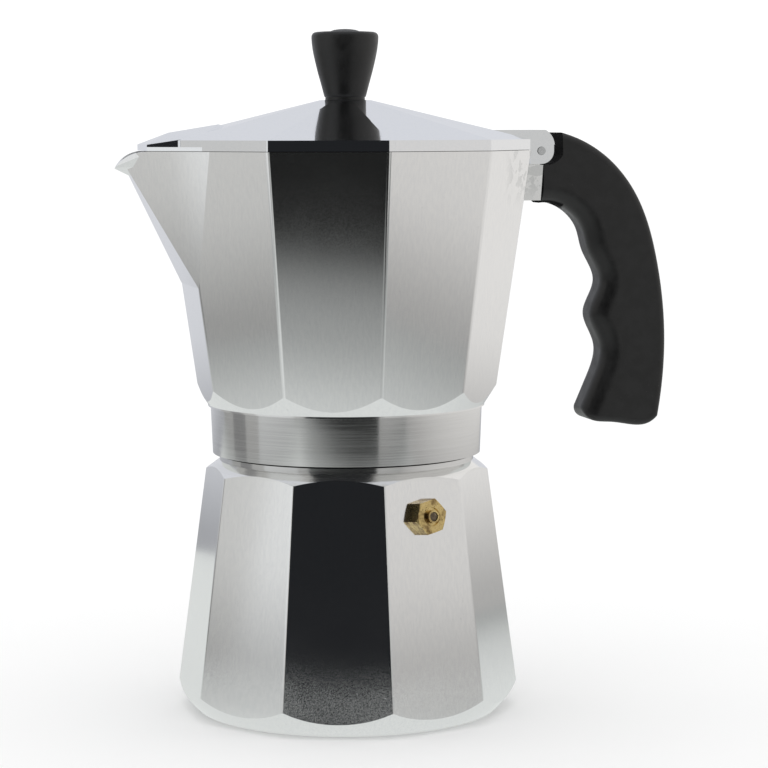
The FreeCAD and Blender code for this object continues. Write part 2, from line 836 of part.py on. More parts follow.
def spout_solid(inset, low, high):
    """The spout: the facet under it leans out to the tip, and a flat cheek closes each side.

    It runs from its root to the rim, drawn in by a wall's thickness.
    """
    root = size("spout_root_level")
    side_angle = math.pi / SIDES
    bare_root = collector_corner(root) * FLAT
    tip = bare_root + (size("spout_tip") - bare_root) * (high - root) / (rim_level - root) - inset * 1.6
    root_corner = collector_corner(low) - inset / FLAT
    rim_corner = collector_high - inset / FLAT
    first = (-rim_corner * math.cos(side_angle), rim_corner * math.sin(side_angle))
    second = (-rim_corner * math.cos(3 * side_angle), rim_corner * math.sin(3 * side_angle))
    crease_x, crease_y = [first[axis] + (second[axis] - first[axis]) * size("spout_crease") for axis in (0, 1)]
    corners = {
        "tip": (-tip, 0, high),
        "back_low": (-20.0, 0, low),
        "back_high": (-20.0, 0, high),
    }
    for side, sign in (("L", -1), ("R", 1)):
        corners["root" + side] = (-root_corner * math.cos(side_angle),
                                  sign * root_corner * math.sin(side_angle), low)
        corners["crease" + side] = (crease_x, sign * crease_y, high)
    faces = [("rootL", "rootR", "tip"), ("rootL", "rootR", "back_low"),
             ("tip", "creaseL", "back_high", "creaseR")]
    for side in "LR":
        faces += [("root" + side, "crease" + side, "tip"),
                  ("root" + side, "crease" + side, "back_high"),
                  ("root" + side, "back_low", "back_high")]
    return polyhedron(corners, faces)


def beak_solid(inset):
    """The pouring lip that turns outward at the spout's tip."""
    root, tip = size("spout_root_level"), size("spout_tip")
    level = size("beak_level") + inset * 1.2
    bare = tip - (rim_level - size("beak_level")) * (tip - collector_corner(root) * FLAT) / (rim_level - root)
    start = bare - inset * 0.5
    top = rim_level + (2.0 if inset else 0.0)
    side = (-tip + 9.0, 9.4 - inset * 1.3)
    reach = size("beak_reach") - inset * 0.4
    return polyhedron({
        "start": (-start, 0, level),
        "tip": (-reach, 0, level + 2.6),
        "tip_top": (-reach, 0, top),
        "left": (side[0], -side[1], top),
        "right": (side[0], side[1], top),
        "left_low": (side[0] + 3.0, -side[1], level + 3.2),
        "right_low": (side[0] + 3.0, side[1], level + 3.2),
    }, [
        ("start", "tip", "left_low"), ("tip", "left", "left_low"), ("tip", "tip_top", "left"),
        ("start", "right_low", "tip"), ("tip", "right_low", "right"), ("tip", "right", "tip_top"),
        ("tip_top", "right", "left"), ("left", "right", "right_low"), ("left", "right_low", "left_low"),
        ("start", "left_low", "right_low"),
    ])


spout_outer = shaped("spout_outer", spout_solid(0.0, size("spout_root_level"), rim_level))
beak_outer = shaped("beak_outer", beak_solid(0.0))
spout_wall = size("spout_wall")
spout_channel = shaped("spout_channel", spout_solid(spout_wall, size("spout_root_level") + spout_wall * 2.0,
                                                    rim_level + 2.0))
beak_channel = shaped("beak_channel", beak_solid(spout_wall))

# The rim of the spout droops in an arc towards the tip.
droop = size("droop_radius")
droop_x, droop_z = -size("droop_start"), rim_level - droop
droop_space = prism([(droop_x, droop_z - 1.0), (droop_x - 2 * droop, droop_z - 1.0),
                     (droop_x - 2 * droop, rim_level + 5.0), (droop_x, rim_level + 5.0)], 30.0)
spout_droop = shaped("spout_droop", droop_space.cut(bar(droop, droop_x, droop_z, 40.0)))

# Boss for the handle with the ear that carries the hinge pin.
pin_x, pin_z = size("pin_reach"), size("pin_level")
lug = size("lug_radius")
hinge_gap = size("hinge_clearance")
half_hinge = size("hinge_width") / 2.0
half_ear = size("ear_width") / 2.0
boss_top = pin_z - lug - hinge_gap
boss_low = size("boss_level")
boss_reach = size("boss_reach")
wall_x = collector_corner(boss_low) * FLAT
boss = prism([(wall_x - 2.0, boss_low), (boss_reach - 0.8, boss_low), (boss_reach, boss_top),
              (wall_x - 2.0 + (boss_top - boss_low) * 0.14, boss_top)], half_hinge)
ear_neck = prism([(pin_x - lug, boss_top - 2.0), (pin_x + 0.6, boss_top - 2.0),
                  (pin_x + 0.6, pin_z), (pin_x - lug, pin_z)], half_ear)
ear = bar(lug, pin_x, pin_z, half_ear)
tenon_width, tenon_height = size("tenon_width"), size("tenon_height")
tenon_low = boss_low + 2.6
tenon = Part.makeBox(size("tenon_length") + 2.0, tenon_width, tenon_height,
                     FreeCAD.Vector(boss_reach - 2.0, -tenon_width / 2, tenon_low))
hinge_block = shaped("hinge_block", boss.multiFuse([ear_neck, ear, tenon]).removeSplitter())
pin_radius = size("pin_radius")
pin_bore = shaped("pin_bore", bar(pin_radius + size("pin_clearance"), pin_x, pin_z, half_hinge + 2.0))
screw_x = boss_reach + size("tenon_length") * 0.55
tenon_thread = shaped("tenon_thread", Part.makeCylinder(
    size("handle_screw") + 0.03, tenon_height + 2.0, FreeCAD.Vector(screw_x, 0, tenon_low - 1.0)))
collector = without(
    "collector",
    joined("collector_solid", [collector_outer, collar, spout_outer, beak_outer, hinge_block]),
    joined("collector_cuts", [bowl_inside, spout_channel, beak_channel, chimney_hole, spout_droop, pin_bore,
                              tenon_thread]),
)
subparts.append(collector)

# ----------------------------------------------------------------------- coffee column and its cap
# Turned aluminium tube pressed into the bowl's floor, with a thin cap that turns the coffee aside.

column_gap = size("press_gap")
column_foot = inner_floor + column_gap
column_top = column_foot + size("column_height")
column = new_body("coffee_column")
revolve(column, "column_turning", [
    (size("column_bore"), seat_top + 0.6),
    (size("chimney_hole") - column_gap, seat_top + 0.6),
    (size("chimney_hole") - column_gap, column_foot),
    (size("column_base"), column_foot),
    (size("column_base"), column_foot + 2.0),
    (size("column_top") + 1.5, column_foot + 9.0),
    (size("column_top"), column_top),
    (size("column_bore"), column_top),
])
cap_wall = size("cap_wall")
cap_inner = size("column_top") + column_gap + 0.25
cap_top = column_top + size("cap_height") - 3.0
column_cap = new_body("column_cap")
revolve(column_cap, "cap_pressing", [
    (0.0, cap_top - cap_wall),
    (cap_inner, cap_top - cap_wall),
    (cap_inner, column_top - 3.0),
    (cap_inner + cap_wall, column_top - 3.0),
    (cap_inner + cap_wall, cap_top - 1.0),
    (cap_inner, cap_top),
    (0.0, cap_top),
])
window = outline(new_sketch(column_cap, "cap_window_outline"), [
    (-4.0, column_top + 0.4), (4.0, column_top + 0.4), (4.0, cap_top - 1.2), (-4.0, cap_top - 1.2)])
extrude(column_cap, "cap_windows", window, 40.0, remove=True, both=True)

# --------------------------------------------------------------------------------------------- lid
# Cast aluminium ten-sided pyramid with a turned-down band, a roofed cover over the spout and a tab
# whose two cheeks straddle the collector's ear. It turns about the hinge pin.

lid_low = rim_level + size("lid_gap")
band_top = lid_low + size("lid_band")
lid_corner, lid_wall = size("lid_corner"), size("lid_wall")
crown_level, crown_radius = size("crown_level"), size("crown_radius")
crown_corner = crown_radius / FLAT
LID_EDGE = 1.0
lid_band = ten_sided("lid_band", lid_low, lid_corner, band_top, lid_corner, LID_EDGE)
lid_roof = ten_sided("lid_roof", band_top, lid_corner, crown_level, crown_corner, LID_EDGE)
inner_corner = lid_corner - lid_wall / FLAT
lid_band_inside = ten_sided("lid_band_inside", lid_low - 1.0, inner_corner, band_top - 1.6, inner_corner,
                            LID_EDGE)
lid_roof_inside = ten_sided("lid_roof_inside", band_top - 1.6, inner_corner, crown_level - lid_wall,
                            crown_corner, LID_EDGE)


def lid_surface(distance):
    """Level of the lid's top over a distance from the axis, on the middle of a side."""
    return along(lid_corner * FLAT, band_top, crown_radius, crown_level, distance)


def cover_solid(inset):
    """The cover over the spout: upright sides, a hipped roof and a bevel down to the lid."""
    front, rear = size("cover_front") - inset * 0.8, size("cover_rear")
    front_y = size("cover_front_width") - inset * 1.1
    rear_y = size("cover_rear_width") - inset * 1.3
    bottom = lid_low - (2.0 if inset else 0.0)
    front_top = lid_low + size("cover_front_height") - inset * 0.5
    rear_top = lid_low + size("cover_rear_height") - inset
    run = 1.28
    foot_x = front + (rear - front) * run
    foot_y = front_y + (rear_y - front_y) * run
    base_x = size("ridge_rear") - 2.4
    corners = {
        "ridge_front": (-size("ridge_front"), 0, size("ridge_front_level") - inset),
        "ridge_rear": (-size("ridge_rear"), 0, size("ridge_rear_level") - inset),
        "base": (-base_x, 0, lid_surface(base_x) - 0.3 - inset),
        "base_low": (-base_x, 0, bottom),
    }
    for side, sign in (("L", -1), ("R", 1)):
        corners["front_low" + side] = (-front, sign * front_y, bottom)
        corners["front_top" + side] = (-front, sign * front_y, front_top)
        corners["rear_top" + side] = (-rear, sign * rear_y, rear_top)
        corners["foot" + side] = (-foot_x, sign * foot_y, band_top - 0.1 - inset)
        corners["foot_low" + side] = (-foot_x, sign * foot_y, bottom)
    faces = [
        ("front_lowL", "front_topL", "front_topR", "front_lowR"),
        ("front_topL", "ridge_front", "front_topR"),
        ("front_lowL", "front_lowR", "foot_lowR", "base_low", "foot_lowL"),
    ]
    for side in "LR":
        faces += [
            ("front_low" + side, "foot_low" + side, "foot" + side, "rear_top" + side, "front_top" + side),
            ("front_top" + side, "rear_top" + side, "ridge_front"),
            ("rear_top" + side, "ridge_rear", "ridge_front"),
            ("rear_top" + side, "foot" + side, "base"),
            ("rear_top" + side, "base", "ridge_rear"),
            ("foot" + side, "foot_low" + side, "base_low", "base"),
        ]
    return polyhedron(corners, faces)


def tab_outline(grow=0.0):
    """Side view of the lid's tab beyond the pin, as a face in the XZ plane, grown by a clearance."""
    top, ledge = size("tab_height") + grow, size("tab_ledge") - grow
    nose, shoulder = lug + 0.1 + grow, 1.2 + grow * 0.5
    points = [(-lug, ledge), (nose, ledge), (shoulder, top), (-lug, top)]
    corners = [FreeCAD.Vector(pin_x + x, 0, pin_z + z) for x, z in points]
    bulge = FreeCAD.Vector(pin_x + 3.3 + grow * 0.8, 0, pin_z + 4.5 + grow * 0.6)
    edges = [
        Part.LineSegment(corners[0], corners[1]).toShape(),
        Part.Arc(corners[1], bulge, corners[2]).toShape(),
        Part.LineSegment(corners[2], corners[3]).toShape(),
        Part.LineSegment(corners[3], corners[0]).toShape(),
    ]
    return Part.Face(Part.Wire(edges))


def thick(face, half_width):
    """Give a face in the XZ plane thickness both ways along Y."""
    moved = face.copy()
    moved.translate(FreeCAD.Vector(0, -half_width, 0))
    return moved.extrude(FreeCAD.Vector(0, 2 * half_width, 0))


def flat_plate(points, level, height):
    """A flat plate with a straight-sided outline, given as X and Y, standing on a level."""
    corners = [FreeCAD.Vector(x, y, level) for x, y in points + points[:1]]
    return Part.Face(Part.makePolygon(corners)).extrude(FreeCAD.Vector(0, 0, float(height)))


TAB_LEDGE_WIDTH = 0.4                  # how far the tab's top stands out over its cheeks
tab_ledge, tab_height, lug_back = size("tab_ledge"), size("tab_height"), size("lug_back")
rib_back = (pin_z + tab_height - band_top) / (crown_level - band_top) * (lid_corner * FLAT - crown_radius)
rib_start = lid_corner * FLAT - rib_back
tab_top = thick(tab_outline(), half_hinge + TAB_LEDGE_WIDTH / 2)
rib = prism([(rib_start, pin_z + tab_height), (pin_x - lug_back, pin_z + tab_height),
             (pin_x - lug_back, lid_low + 0.1), (rib_start + 6.0, lid_low + 0.1),
             (rib_start, pin_z + tab_height - 1.5)], half_hinge + TAB_LEDGE_WIDTH / 2)
cheek_width = half_hinge - TAB_LEDGE_WIDTH / 2
cheeks = bar(lug, pin_x, pin_z, cheek_width).multiFuse([
    prism([(pin_x - lug_back, pin_z - lug), (pin_x, pin_z - lug), (pin_x, pin_z + tab_ledge),
           (pin_x - lug_back, pin_z + tab_ledge)], cheek_width),
    prism([(pin_x, pin_z), (pin_x + lug, pin_z), (pin_x + lug, pin_z + tab_ledge),
           (pin_x, pin_z + tab_ledge)], cheek_width),
])
slot_reach = lug + hinge_gap
ear_slot = bar(slot_reach, pin_x, pin_z, half_ear + hinge_gap).fuse(
    prism([(pin_x - slot_reach, pin_z - lug - 2.0), (pin_x + lug + 2.0, pin_z - lug - 2.0),
           (pin_x + lug + 2.0, pin_z + tab_ledge), (pin_x - slot_reach, pin_z + tab_ledge)],
          half_ear + hinge_gap))
tab_solid = shaped("tab_solid", tab_top.multiFuse([rib, cheeks]).cut(ear_slot).removeSplitter())
cover_outer = shaped("cover_outer", cover_solid(0.0))
cover_plate = shaped("cover_plate", flat_plate([
    (-size("cover_front"), -size("cover_front_width")),
    (-size("cover_plate_reach"), -size("cover_plate_width")),
    (-lid_corner * FLAT + 4.0, -size("cover_front_width")),
    (-lid_corner * FLAT + 4.0, size("cover_front_width")),
    (-size("cover_plate_reach"), size("cover_plate_width")),
    (-size("cover_front"), size("cover_front_width")),
], lid_low, size("cover_plate")))
cover_inside = shaped("cover_inside", cover_solid(1.7))
lid_pin_bore = shaped("lid_pin_bore", bar(pin_radius + size("pin_clearance"), pin_x, pin_z, half_hinge + 2.0))
knob_screw = size("knob_screw")
knob_hole = doc.addObject("Part::Cylinder", "knob_hole")
bind(knob_hole, "Radius", knob_screw + 0.1)
knob_hole.Height = 20
bind(knob_hole, "Placement.Base.z", crown_level - 15.0)
lid = without("lid", joined("lid_solid", [lid_band, lid_roof, cover_outer, cover_plate, tab_solid]),
              joined("lid_cuts", [lid_band_inside, lid_roof_inside, cover_inside, lid_pin_bore, knob_hole]))
subparts.append(lid)

hinge_pin = new_body("hinge_pin")
pin_sketch = circle_outline(new_sketch(hinge_pin, "pin_outline"), pin_radius, pin_x, pin_z)
extrude(hinge_pin, "pin_rod", pin_sketch, size("hinge_width") + 2.0 * size("pin_overhang") - TAB_LEDGE_WIDTH,
        both=True)

# -------------------------------------------------------------------------------------------- knob
# Moulded black plastic, drawn down on a spacer ring by a screw from inside the lid.

spacer_top = crown_level + size("spacer_height")
spacer = new_body("knob_spacer")
revolve(spacer, "spacer_ring", [
    (knob_screw + 0.1, crown_level + column_gap),
    (size("spacer_radius"), crown_level + column_gap),
    (size("spacer_radius"), spacer_top - column_gap),
    (knob_screw + 0.1, spacer_top - column_gap),
])
knob = new_body("knob")
knob_top = spacer_top + size("knob_height")
knob_edge = size("knob_edge")
revolve(knob, "knob_moulding", [
    (0.0, spacer_top + size("knob_screw_depth")),
    (knob_screw + column_gap, spacer_top + size("knob_screw_depth")),
    (knob_screw + column_gap, spacer_top),
    (size("knob_foot"), spacer_top),
    (size("knob_waist"), spacer_top + 5.3),
    (size("knob_shoulder"), spacer_top + 10.0),
    (size("knob_radius") - 0.3, spacer_top + 14.4),
    (size("knob_radius"), knob_top - knob_edge),
    (size("knob_radius") - knob_edge * 0.35, knob_top - knob_edge * 0.4),
    (size("knob_radius") - knob_edge, knob_top),
    (size("knob_dome"), knob_top),
    (size("knob_dome") - 1.6, knob_top + size("knob_dome_height") * 0.8),
    (0.0, knob_top + size("knob_dome_height")),
])
screw_head = crown_level - lid_wall - column_gap
knob_screw_body = new_body("knob_screw")
revolve(knob_screw_body, "knob_screw_turning", [
    (0.0, screw_head - 2.2),
    (size("knob_screw_head") - 0.8, screw_head - 2.2),
    (size("knob_screw_head"), screw_head - 1.4),
    (size("knob_screw_head"), screw_head),
    (knob_screw, screw_head),
    (knob_screw, spacer_top + size("knob_screw_depth") - 0.5),
    (0.0, spacer_top + size("knob_screw_depth") - 0.5),
])

# ------------------------------------------------------------------------------------------ handle
# Moulded black plastic with two finger hollows, pushed over the boss's tenon and held by a screw
# from underneath. Its top is hollowed where the lid's tab swings down.

half_handle = size("handle_width") / 2.0
grip = size("handle_grip")
bump = grip - size("groove_depth")
groove_pitch, upper_groove = size("groove_pitch"), size("upper_groove")
reach, foot = size("handle_reach"), size("handle_foot")
root_x = boss_reach + 0.1
middle = upper_groove - groove_pitch / 2.0


def smooth(points):
    curve = Part.BSplineCurve()
    curve.interpolate([FreeCAD.Vector(x, 0, z) for x, z in points])
    return curve.toShape()


inside_line = [
    (root_x, boss_low - 0.9),
    (grip - 12.0, boss_low - 2.7),
    (bump - 2.6, upper_groove + groove_pitch * 0.82),
    (bump - 0.6, upper_groove + groove_pitch * 0.48),
    (grip - 0.2, upper_groove),
    (bump, middle),
    (grip, upper_groove - groove_pitch),
    (bump + 1.1, foot + 13.5),
    (bump - 2.8, foot + 4.6),
]
outside_line = [
    (reach - 2.2, foot + 1.6),
    (reach, middle - 8.0),
    (reach - 2.8, upper_groove + 7.0),
    (reach - 10.0, boss_low + 2.1),
    (reach - 21.3, pin_z - 0.5),
    (pin_x + 8.8, pin_z + tab_height - 1.4),
    (pin_x + 2.8, pin_z + tab_height - 0.1),
]
foot_line = [inside_line[-1], (bump - 1.0, foot + 1.4), (bump + 6.5, foot), (reach - 5.2, foot - 0.6),
             outside_line[0]]
top_corner, root_corner = outside_line[-1], inside_line[0]
closing = [FreeCAD.Vector(x, 0, z) for x, z in (top_corner, (root_x, top_corner[1]), root_corner)]
handle_face = Part.Face(Part.Wire([
    smooth(inside_line),
    smooth(foot_line),
    smooth(outside_line),
    Part.LineSegment(closing[0], closing[1]).toShape(),
    Part.LineSegment(closing[1], closing[2]).toShape(),
]))
blank = thick(handle_face, half_handle)


def long_edges(shape, side):
    """The long edges of the handle's blank on its inner side or on its outer side and foot."""
    edges = [edge for edge in shape.Edges
             if edge.Length > 20.0 and edge.BoundBox.YLength < 0.01 and edge.BoundBox.XMax > root_x + 5.0]
    return [edge for edge in edges if (edge.BoundBox.XMax < reach - 5.0) == (side == "inner")]


rounded_blank = blank.makeFillet(float(size("handle_inner_edge")), long_edges(blank, "inner"))
handle_blank = rounded_blank.makeFillet(float(size("handle_edge")), long_edges(rounded_blank, "outer"))
swing = [tab_outline(float(hinge_gap))]
for turned in (30.0, 60.0, float(size("lid_opening"))):
    face = tab_outline(float(hinge_gap))
    face.rotate(FreeCAD.Vector(pin_x, 0, pin_z), Y_AXIS, turned)
    swing.append(face)
tab_reach = math.hypot(tab_height, 1.2) + hinge_gap
recess = bar(tab_reach, pin_x, pin_z, 12.0).cut(Part.makeBox(
    30.0, 30.0, 20.0, FreeCAD.Vector(pin_x - 15.0, -15.0, pin_z - 1.2 - 20.0)))
recess = recess.multiFuse([thick(face, 12.0) for face in swing] + [
    bar(slot_reach, pin_x, pin_z, 12.0),
    Part.makeBox(tab_height + hinge_gap + 6.0, 24.0, 20.0, FreeCAD.Vector(pin_x - 6.0, -12.0, pin_z)),
])
tenon_gap = size("tenon_gap")
mortise = Part.makeBox(size("tenon_length") + 1.0 + tenon_gap, tenon_width + 2 * tenon_gap,
                       tenon_height + 2 * tenon_gap,
                       FreeCAD.Vector(boss_reach - 1.0, -tenon_width / 2 - tenon_gap, tenon_low - tenon_gap))
screw_radius, screw_head_radius = size("handle_screw"), size("handle_screw_head")
head_seat = boss_low + 0.9
screw_path = Part.makeCylinder(screw_radius + 0.05, tenon_height + 6.0, FreeCAD.Vector(screw_x, 0, head_seat - 1.0))
head_path = Part.makeCylinder(screw_head_radius + 0.2, 8.0, FreeCAD.Vector(screw_x, 0, head_seat - 8.0))
handle = shaped("handle", handle_blank.cut(recess).cut(mortise).cut(screw_path).cut(head_path))
subparts.append(handle)

handle_screw = new_body("handle_screw")
HEAD_HEIGHT = 1.9
screw_end = tenon_low + tenon_height - head_seat - 0.3
revolve(handle_screw, "handle_screw_turning", [
    (0.0, -HEAD_HEIGHT),
    (screw_head_radius - 0.6, -HEAD_HEIGHT),
    (screw_head_radius, -HEAD_HEIGHT + 0.6),
    (screw_head_radius, -column_gap),
    (screw_radius, -column_gap),
    (screw_radius, screw_end),
    (0.0, screw_end),
])
handle_screw.Placement = FreeCAD.Placement(FreeCAD.Vector(screw_x, 0, head_seat), FreeCAD.Rotation())

# ------------------------------------------------------------------------------- checks and export

doc.recompute()
for feature in doc.Objects:
    if {"Invalid", "Error"} & set(feature.State):
        raise ValueError(f"{feature.Name} failed: {feature.getStatusString()}")
for piece in subparts:
    shape = piece.Shape
    if shape.isNull() or not shape.isValid() or shape.Volume <= 0:
        raise ValueError(f"{piece.Label} has no valid shape")
    if len(shape.Solids) != 1:
        raise ValueError(f"{piece.Label} is {len(shape.Solids)} solids")
for piece in subparts:
    piece.Shape.exportStep(f"parts/{piece.Label}.step")
    print(f"{piece.Label}: {piece.Shape.Volume:.0f} cubic mm")
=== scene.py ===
import math

import bpy
from mathutils import Matrix, Vector


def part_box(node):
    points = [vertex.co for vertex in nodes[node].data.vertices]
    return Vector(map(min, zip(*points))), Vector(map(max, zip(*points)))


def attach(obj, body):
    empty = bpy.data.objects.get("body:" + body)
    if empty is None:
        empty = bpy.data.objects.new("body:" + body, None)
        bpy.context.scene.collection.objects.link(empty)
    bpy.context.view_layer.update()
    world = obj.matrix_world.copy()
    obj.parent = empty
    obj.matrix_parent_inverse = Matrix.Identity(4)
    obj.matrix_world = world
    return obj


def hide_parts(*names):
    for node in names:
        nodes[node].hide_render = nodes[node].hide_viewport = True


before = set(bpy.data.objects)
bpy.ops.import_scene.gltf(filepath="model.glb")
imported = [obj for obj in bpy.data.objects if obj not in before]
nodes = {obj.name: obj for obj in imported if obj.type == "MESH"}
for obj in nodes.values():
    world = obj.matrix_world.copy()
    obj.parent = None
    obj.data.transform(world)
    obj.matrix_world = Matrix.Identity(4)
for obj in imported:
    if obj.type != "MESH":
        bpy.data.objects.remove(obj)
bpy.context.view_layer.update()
bpy.ops.object.select_all(action="DESELECT")

# ---------------------------------------------------------------- camera
# A long lens a little above the pot, turned so that the spout points left
# and the handle right, with one facet of the body almost square to it.
camera_turn = math.radians(-12.8)
camera_distance = 0.810
camera_height = 0.1807
camera_tilt = math.radians(5.65)
camera_pan = math.radians(0.83)
camera_roll = math.radians(-0.139)

ahead = Vector((-math.sin(camera_turn), math.cos(camera_turn), 0.0))
aside = Vector((math.cos(camera_turn), math.sin(camera_turn), 0.0))
aim = ahead * math.cos(camera_pan) + aside * math.sin(camera_pan)
across = aside * math.cos(camera_pan) - ahead * math.sin(camera_pan)
upright = Vector((0.0, 0.0, 1.0))
forward = aim * math.cos(camera_tilt) - upright * math.sin(camera_tilt)
upward = upright * math.cos(camera_tilt) + aim * math.sin(camera_tilt)
right = across * math.cos(camera_roll) + upward * math.sin(camera_roll)
up = upward * math.cos(camera_roll) - across * math.sin(camera_roll)

camera_data = bpy.data.cameras.new("camera")
camera_data.sensor_width = 36.0
camera_data.lens = 122.81
camera_data.clip_start = 0.01
camera_data.clip_end = 60.0
camera = bpy.data.objects.new("camera", camera_data)
bpy.context.scene.collection.objects.link(camera)
turning = Matrix((right, up, -forward)).transposed().to_4x4()
camera.matrix_world = Matrix.Translation((camera_distance * math.sin(camera_turn),
                                          -camera_distance * math.cos(camera_turn),
                                          camera_height)) @ turning
bpy.context.scene.camera = camera
bpy.context.scene.view_settings.view_transform = "Standard"

# ---------------------------------------------------------------- studio
# A white room light all round, a plain pale floor, and a small cloth tent
# that only the polished metal mirrors: open and dark at the front.
room = bpy.data.worlds.new("room")
room.use_nodes = True
bpy.context.scene.world = room
room_nodes, room_links = room.node_tree.nodes, room.node_tree.links
room_light = room_nodes["Background"]
room_light.inputs["Color"].default_value = (1.0, 1.0, 1.0, 1.0)
room_light.inputs["Strength"].default_value = 1.12
room_dark = room_nodes.new("ShaderNodeBackground")
room_dark.inputs["Color"].default_value = (0.016, 0.017, 0.019, 1.0)
ray_kind = room_nodes.new("ShaderNodeLightPath")
room_pick = room_nodes.new("ShaderNodeMixShader")
room_links.new(ray_kind.outputs["Is Glossy Ray"], room_pick.inputs["Fac"])
room_links.new(room_light.outputs["Background"], room_pick.inputs[1])
room_links.new(room_dark.outputs["Background"], room_pick.inputs[2])
room_links.new(room_pick.outputs["Shader"], room_nodes["World Output"].inputs["Surface"])

bpy.ops.mesh.primitive_plane_add(size=30.0, location=(0.0, 0.0, 0.0))
floor = bpy.context.object
floor.name = "floor"
floor_paint = bpy.data.materials.new("floor_paint")
floor_paint.use_nodes = True
floor_shader = floor_paint.node_tree.nodes["Principled BSDF"]
floor_shader.inputs["Base Color"].default_value = (0.93, 0.93, 0.93, 1.0)
floor_shader.inputs["Roughness"].default_value = 0.9
floor_shader.inputs["Specular IOR Level"].default_value = 0.0
floor.data.materials.append(floor_paint)
floor.visible_glossy = False

tent_left, tent_right = -0.44, 0.305
tent_front, tent_back = -0.43, 0.45
tent_top = 0.70
tent_flap = 0.10                       # the closed part of the front starts here


def only_mirrored(card):
    """The card shows in polished metal, lights nothing and hides nothing."""
    card.visible_camera = False
    card.visible_diffuse = False
    card.visible_shadow = False
    card.visible_transmission = False


def tent_cloth(name, tint, stops, across_axis, near, far, gain):
    """Glowing cloth, dim at the seam by the floor: stops are (height, brightness)."""
    cloth = bpy.data.materials.new(name)
    cloth.use_nodes = True
    made, links = cloth.node_tree.nodes, cloth.node_tree.links
    made.remove(made["Principled BSDF"])
    place = made.new("ShaderNodeTexCoord")
    split = made.new("ShaderNodeSeparateXYZ")
    links.new(place.outputs["Object"], split.inputs["Vector"])
    reach = made.new("ShaderNodeMapRange")
    reach.inputs["From Max"].default_value = stops[-1][0]
    links.new(split.outputs["Z"], reach.inputs["Value"])
    ramp = made.new("ShaderNodeValToRGB")
    ramp.color_ramp.elements.remove(ramp.color_ramp.elements[1])
    for number, (height, glow) in enumerate(stops):
        spot = height / stops[-1][0]
        element = ramp.color_ramp.elements[0] if number == 0 else ramp.color_ramp.elements.new(spot)
        element.position = spot
        element.color = (glow, glow, glow, 1.0)
    links.new(reach.outputs["Result"], ramp.inputs["Fac"])
    along = made.new("ShaderNodeMapRange")
    along.inputs["From Min"].default_value = near
    along.inputs["From Max"].default_value = far
    along.inputs["To Min"].default_value = gain[0]
    along.inputs["To Max"].default_value = gain[1]
    links.new(split.outputs[across_axis], along.inputs["Value"])
    glow_out = made.new("ShaderNodeEmission")
    dye = made.new("ShaderNodeMix")
    dye.data_type = "RGBA"
    dye.blend_type = "MULTIPLY"
    dye.inputs["Factor"].default_value = 1.0
    dye.inputs["B"].default_value = (*tint, 1.0)
    links.new(ramp.outputs["Color"], dye.inputs["A"])
    links.new(dye.outputs["Result"], glow_out.inputs["Color"])
    links.new(along.outputs["Result"], glow_out.inputs["Strength"])
    links.new(glow_out.outputs["Emission"], made["Material Output"].inputs["Surface"])
    return cloth


wall_glow = [(0.0, 0.34), (0.010, 0.35), (0.028, 0.44), (0.046, 0.54),
             (0.060, 0.60), (0.090, 0.63), (0.70, 0.66)]
left_cloth = tent_cloth("left_cloth", (1.0, 1.0, 0.98), wall_glow, "Y", tent_front, tent_back, (0.98, 0.94))
right_cloth = tent_cloth("right_cloth", (1.0, 0.985, 0.965), wall_glow, "Y", tent_front, tent_back, (1.08, 1.42))
back_cloth = tent_cloth("back_cloth", (0.955, 0.975, 1.03), wall_glow, "X", tent_left, tent_right, (1.16, 1.16))


def hang(name, cloth, corners):
    """One flat cloth of the tent between four corners."""
    sheet = bpy.data.meshes.new(name)
    sheet.from_pydata(corners, [], [(0, 1, 2, 3)])
    sheet.materials.append(cloth)
    card = bpy.data.objects.new(name, sheet)
    bpy.context.scene.collection.objects.link(card)
    only_mirrored(card)


hang("tent_left", left_cloth, [(tent_left, tent_front, 0), (tent_left, tent_back, 0),
                               (tent_left, tent_back, tent_top), (tent_left, tent_front, tent_top)])
hang("tent_right", right_cloth, [(tent_right, tent_front, 0), (tent_right, tent_back, 0),
                                 (tent_right, tent_back, tent_top), (tent_right, tent_front, tent_top)])
hang("tent_back", back_cloth, [(tent_left, tent_back, 0), (tent_right, tent_back, 0),
                               (tent_right, tent_back, tent_top), (tent_left, tent_back, tent_top)])
hang("tent_roof", back_cloth, [(tent_left, tent_front, tent_top), (tent_right, tent_front, tent_top),
                               (tent_right, tent_back, tent_top), (tent_left, tent_back, tent_top)])
hang("tent_flap", left_cloth, [(tent_flap, tent_front, 0), (tent_right, tent_front, 0),
                               (tent_right, tent_front, tent_top), (tent_flap, tent_front, tent_top)])

# The left wall is dimmer towards the back and brighter towards the front.
seam_cloth = tent_cloth("seam_cloth", (1.0, 1.0, 1.0), wall_glow, "X", -1.0, 1.0, (0.55, 0.55))
hang("tent_seam", seam_cloth, [(tent_left + 0.01, 0.105, 0), (tent_left + 0.01, 0.250, 0),
                               (tent_left + 0.01, 0.250, tent_top), (tent_left + 0.01, 0.105, tent_top)])
lit_cloth = tent_cloth("lit_cloth", (0.985, 1.0, 1.0), wall_glow, "X", -1.0, 1.0, (1.32, 1.32))
hang("tent_lit", lit_cloth, [(tent_left + 0.01, -0.300, 0), (tent_left + 0.01, -0.008, 0),
                             (tent_left + 0.01, -0.008, tent_top), (tent_left + 0.01, -0.300, tent_top)])

ground_cloth = bpy.data.materials.new("ground_cloth")
ground_cloth.use_nodes = True
made, links = ground_cloth.node_tree.nodes, ground_cloth.node_tree.links
made.remove(made["Principled BSDF"])
place = made.new("ShaderNodeTexCoord")
split = made.new("ShaderNodeSeparateXYZ")
links.new(place.outputs["Object"], split.inputs["Vector"])


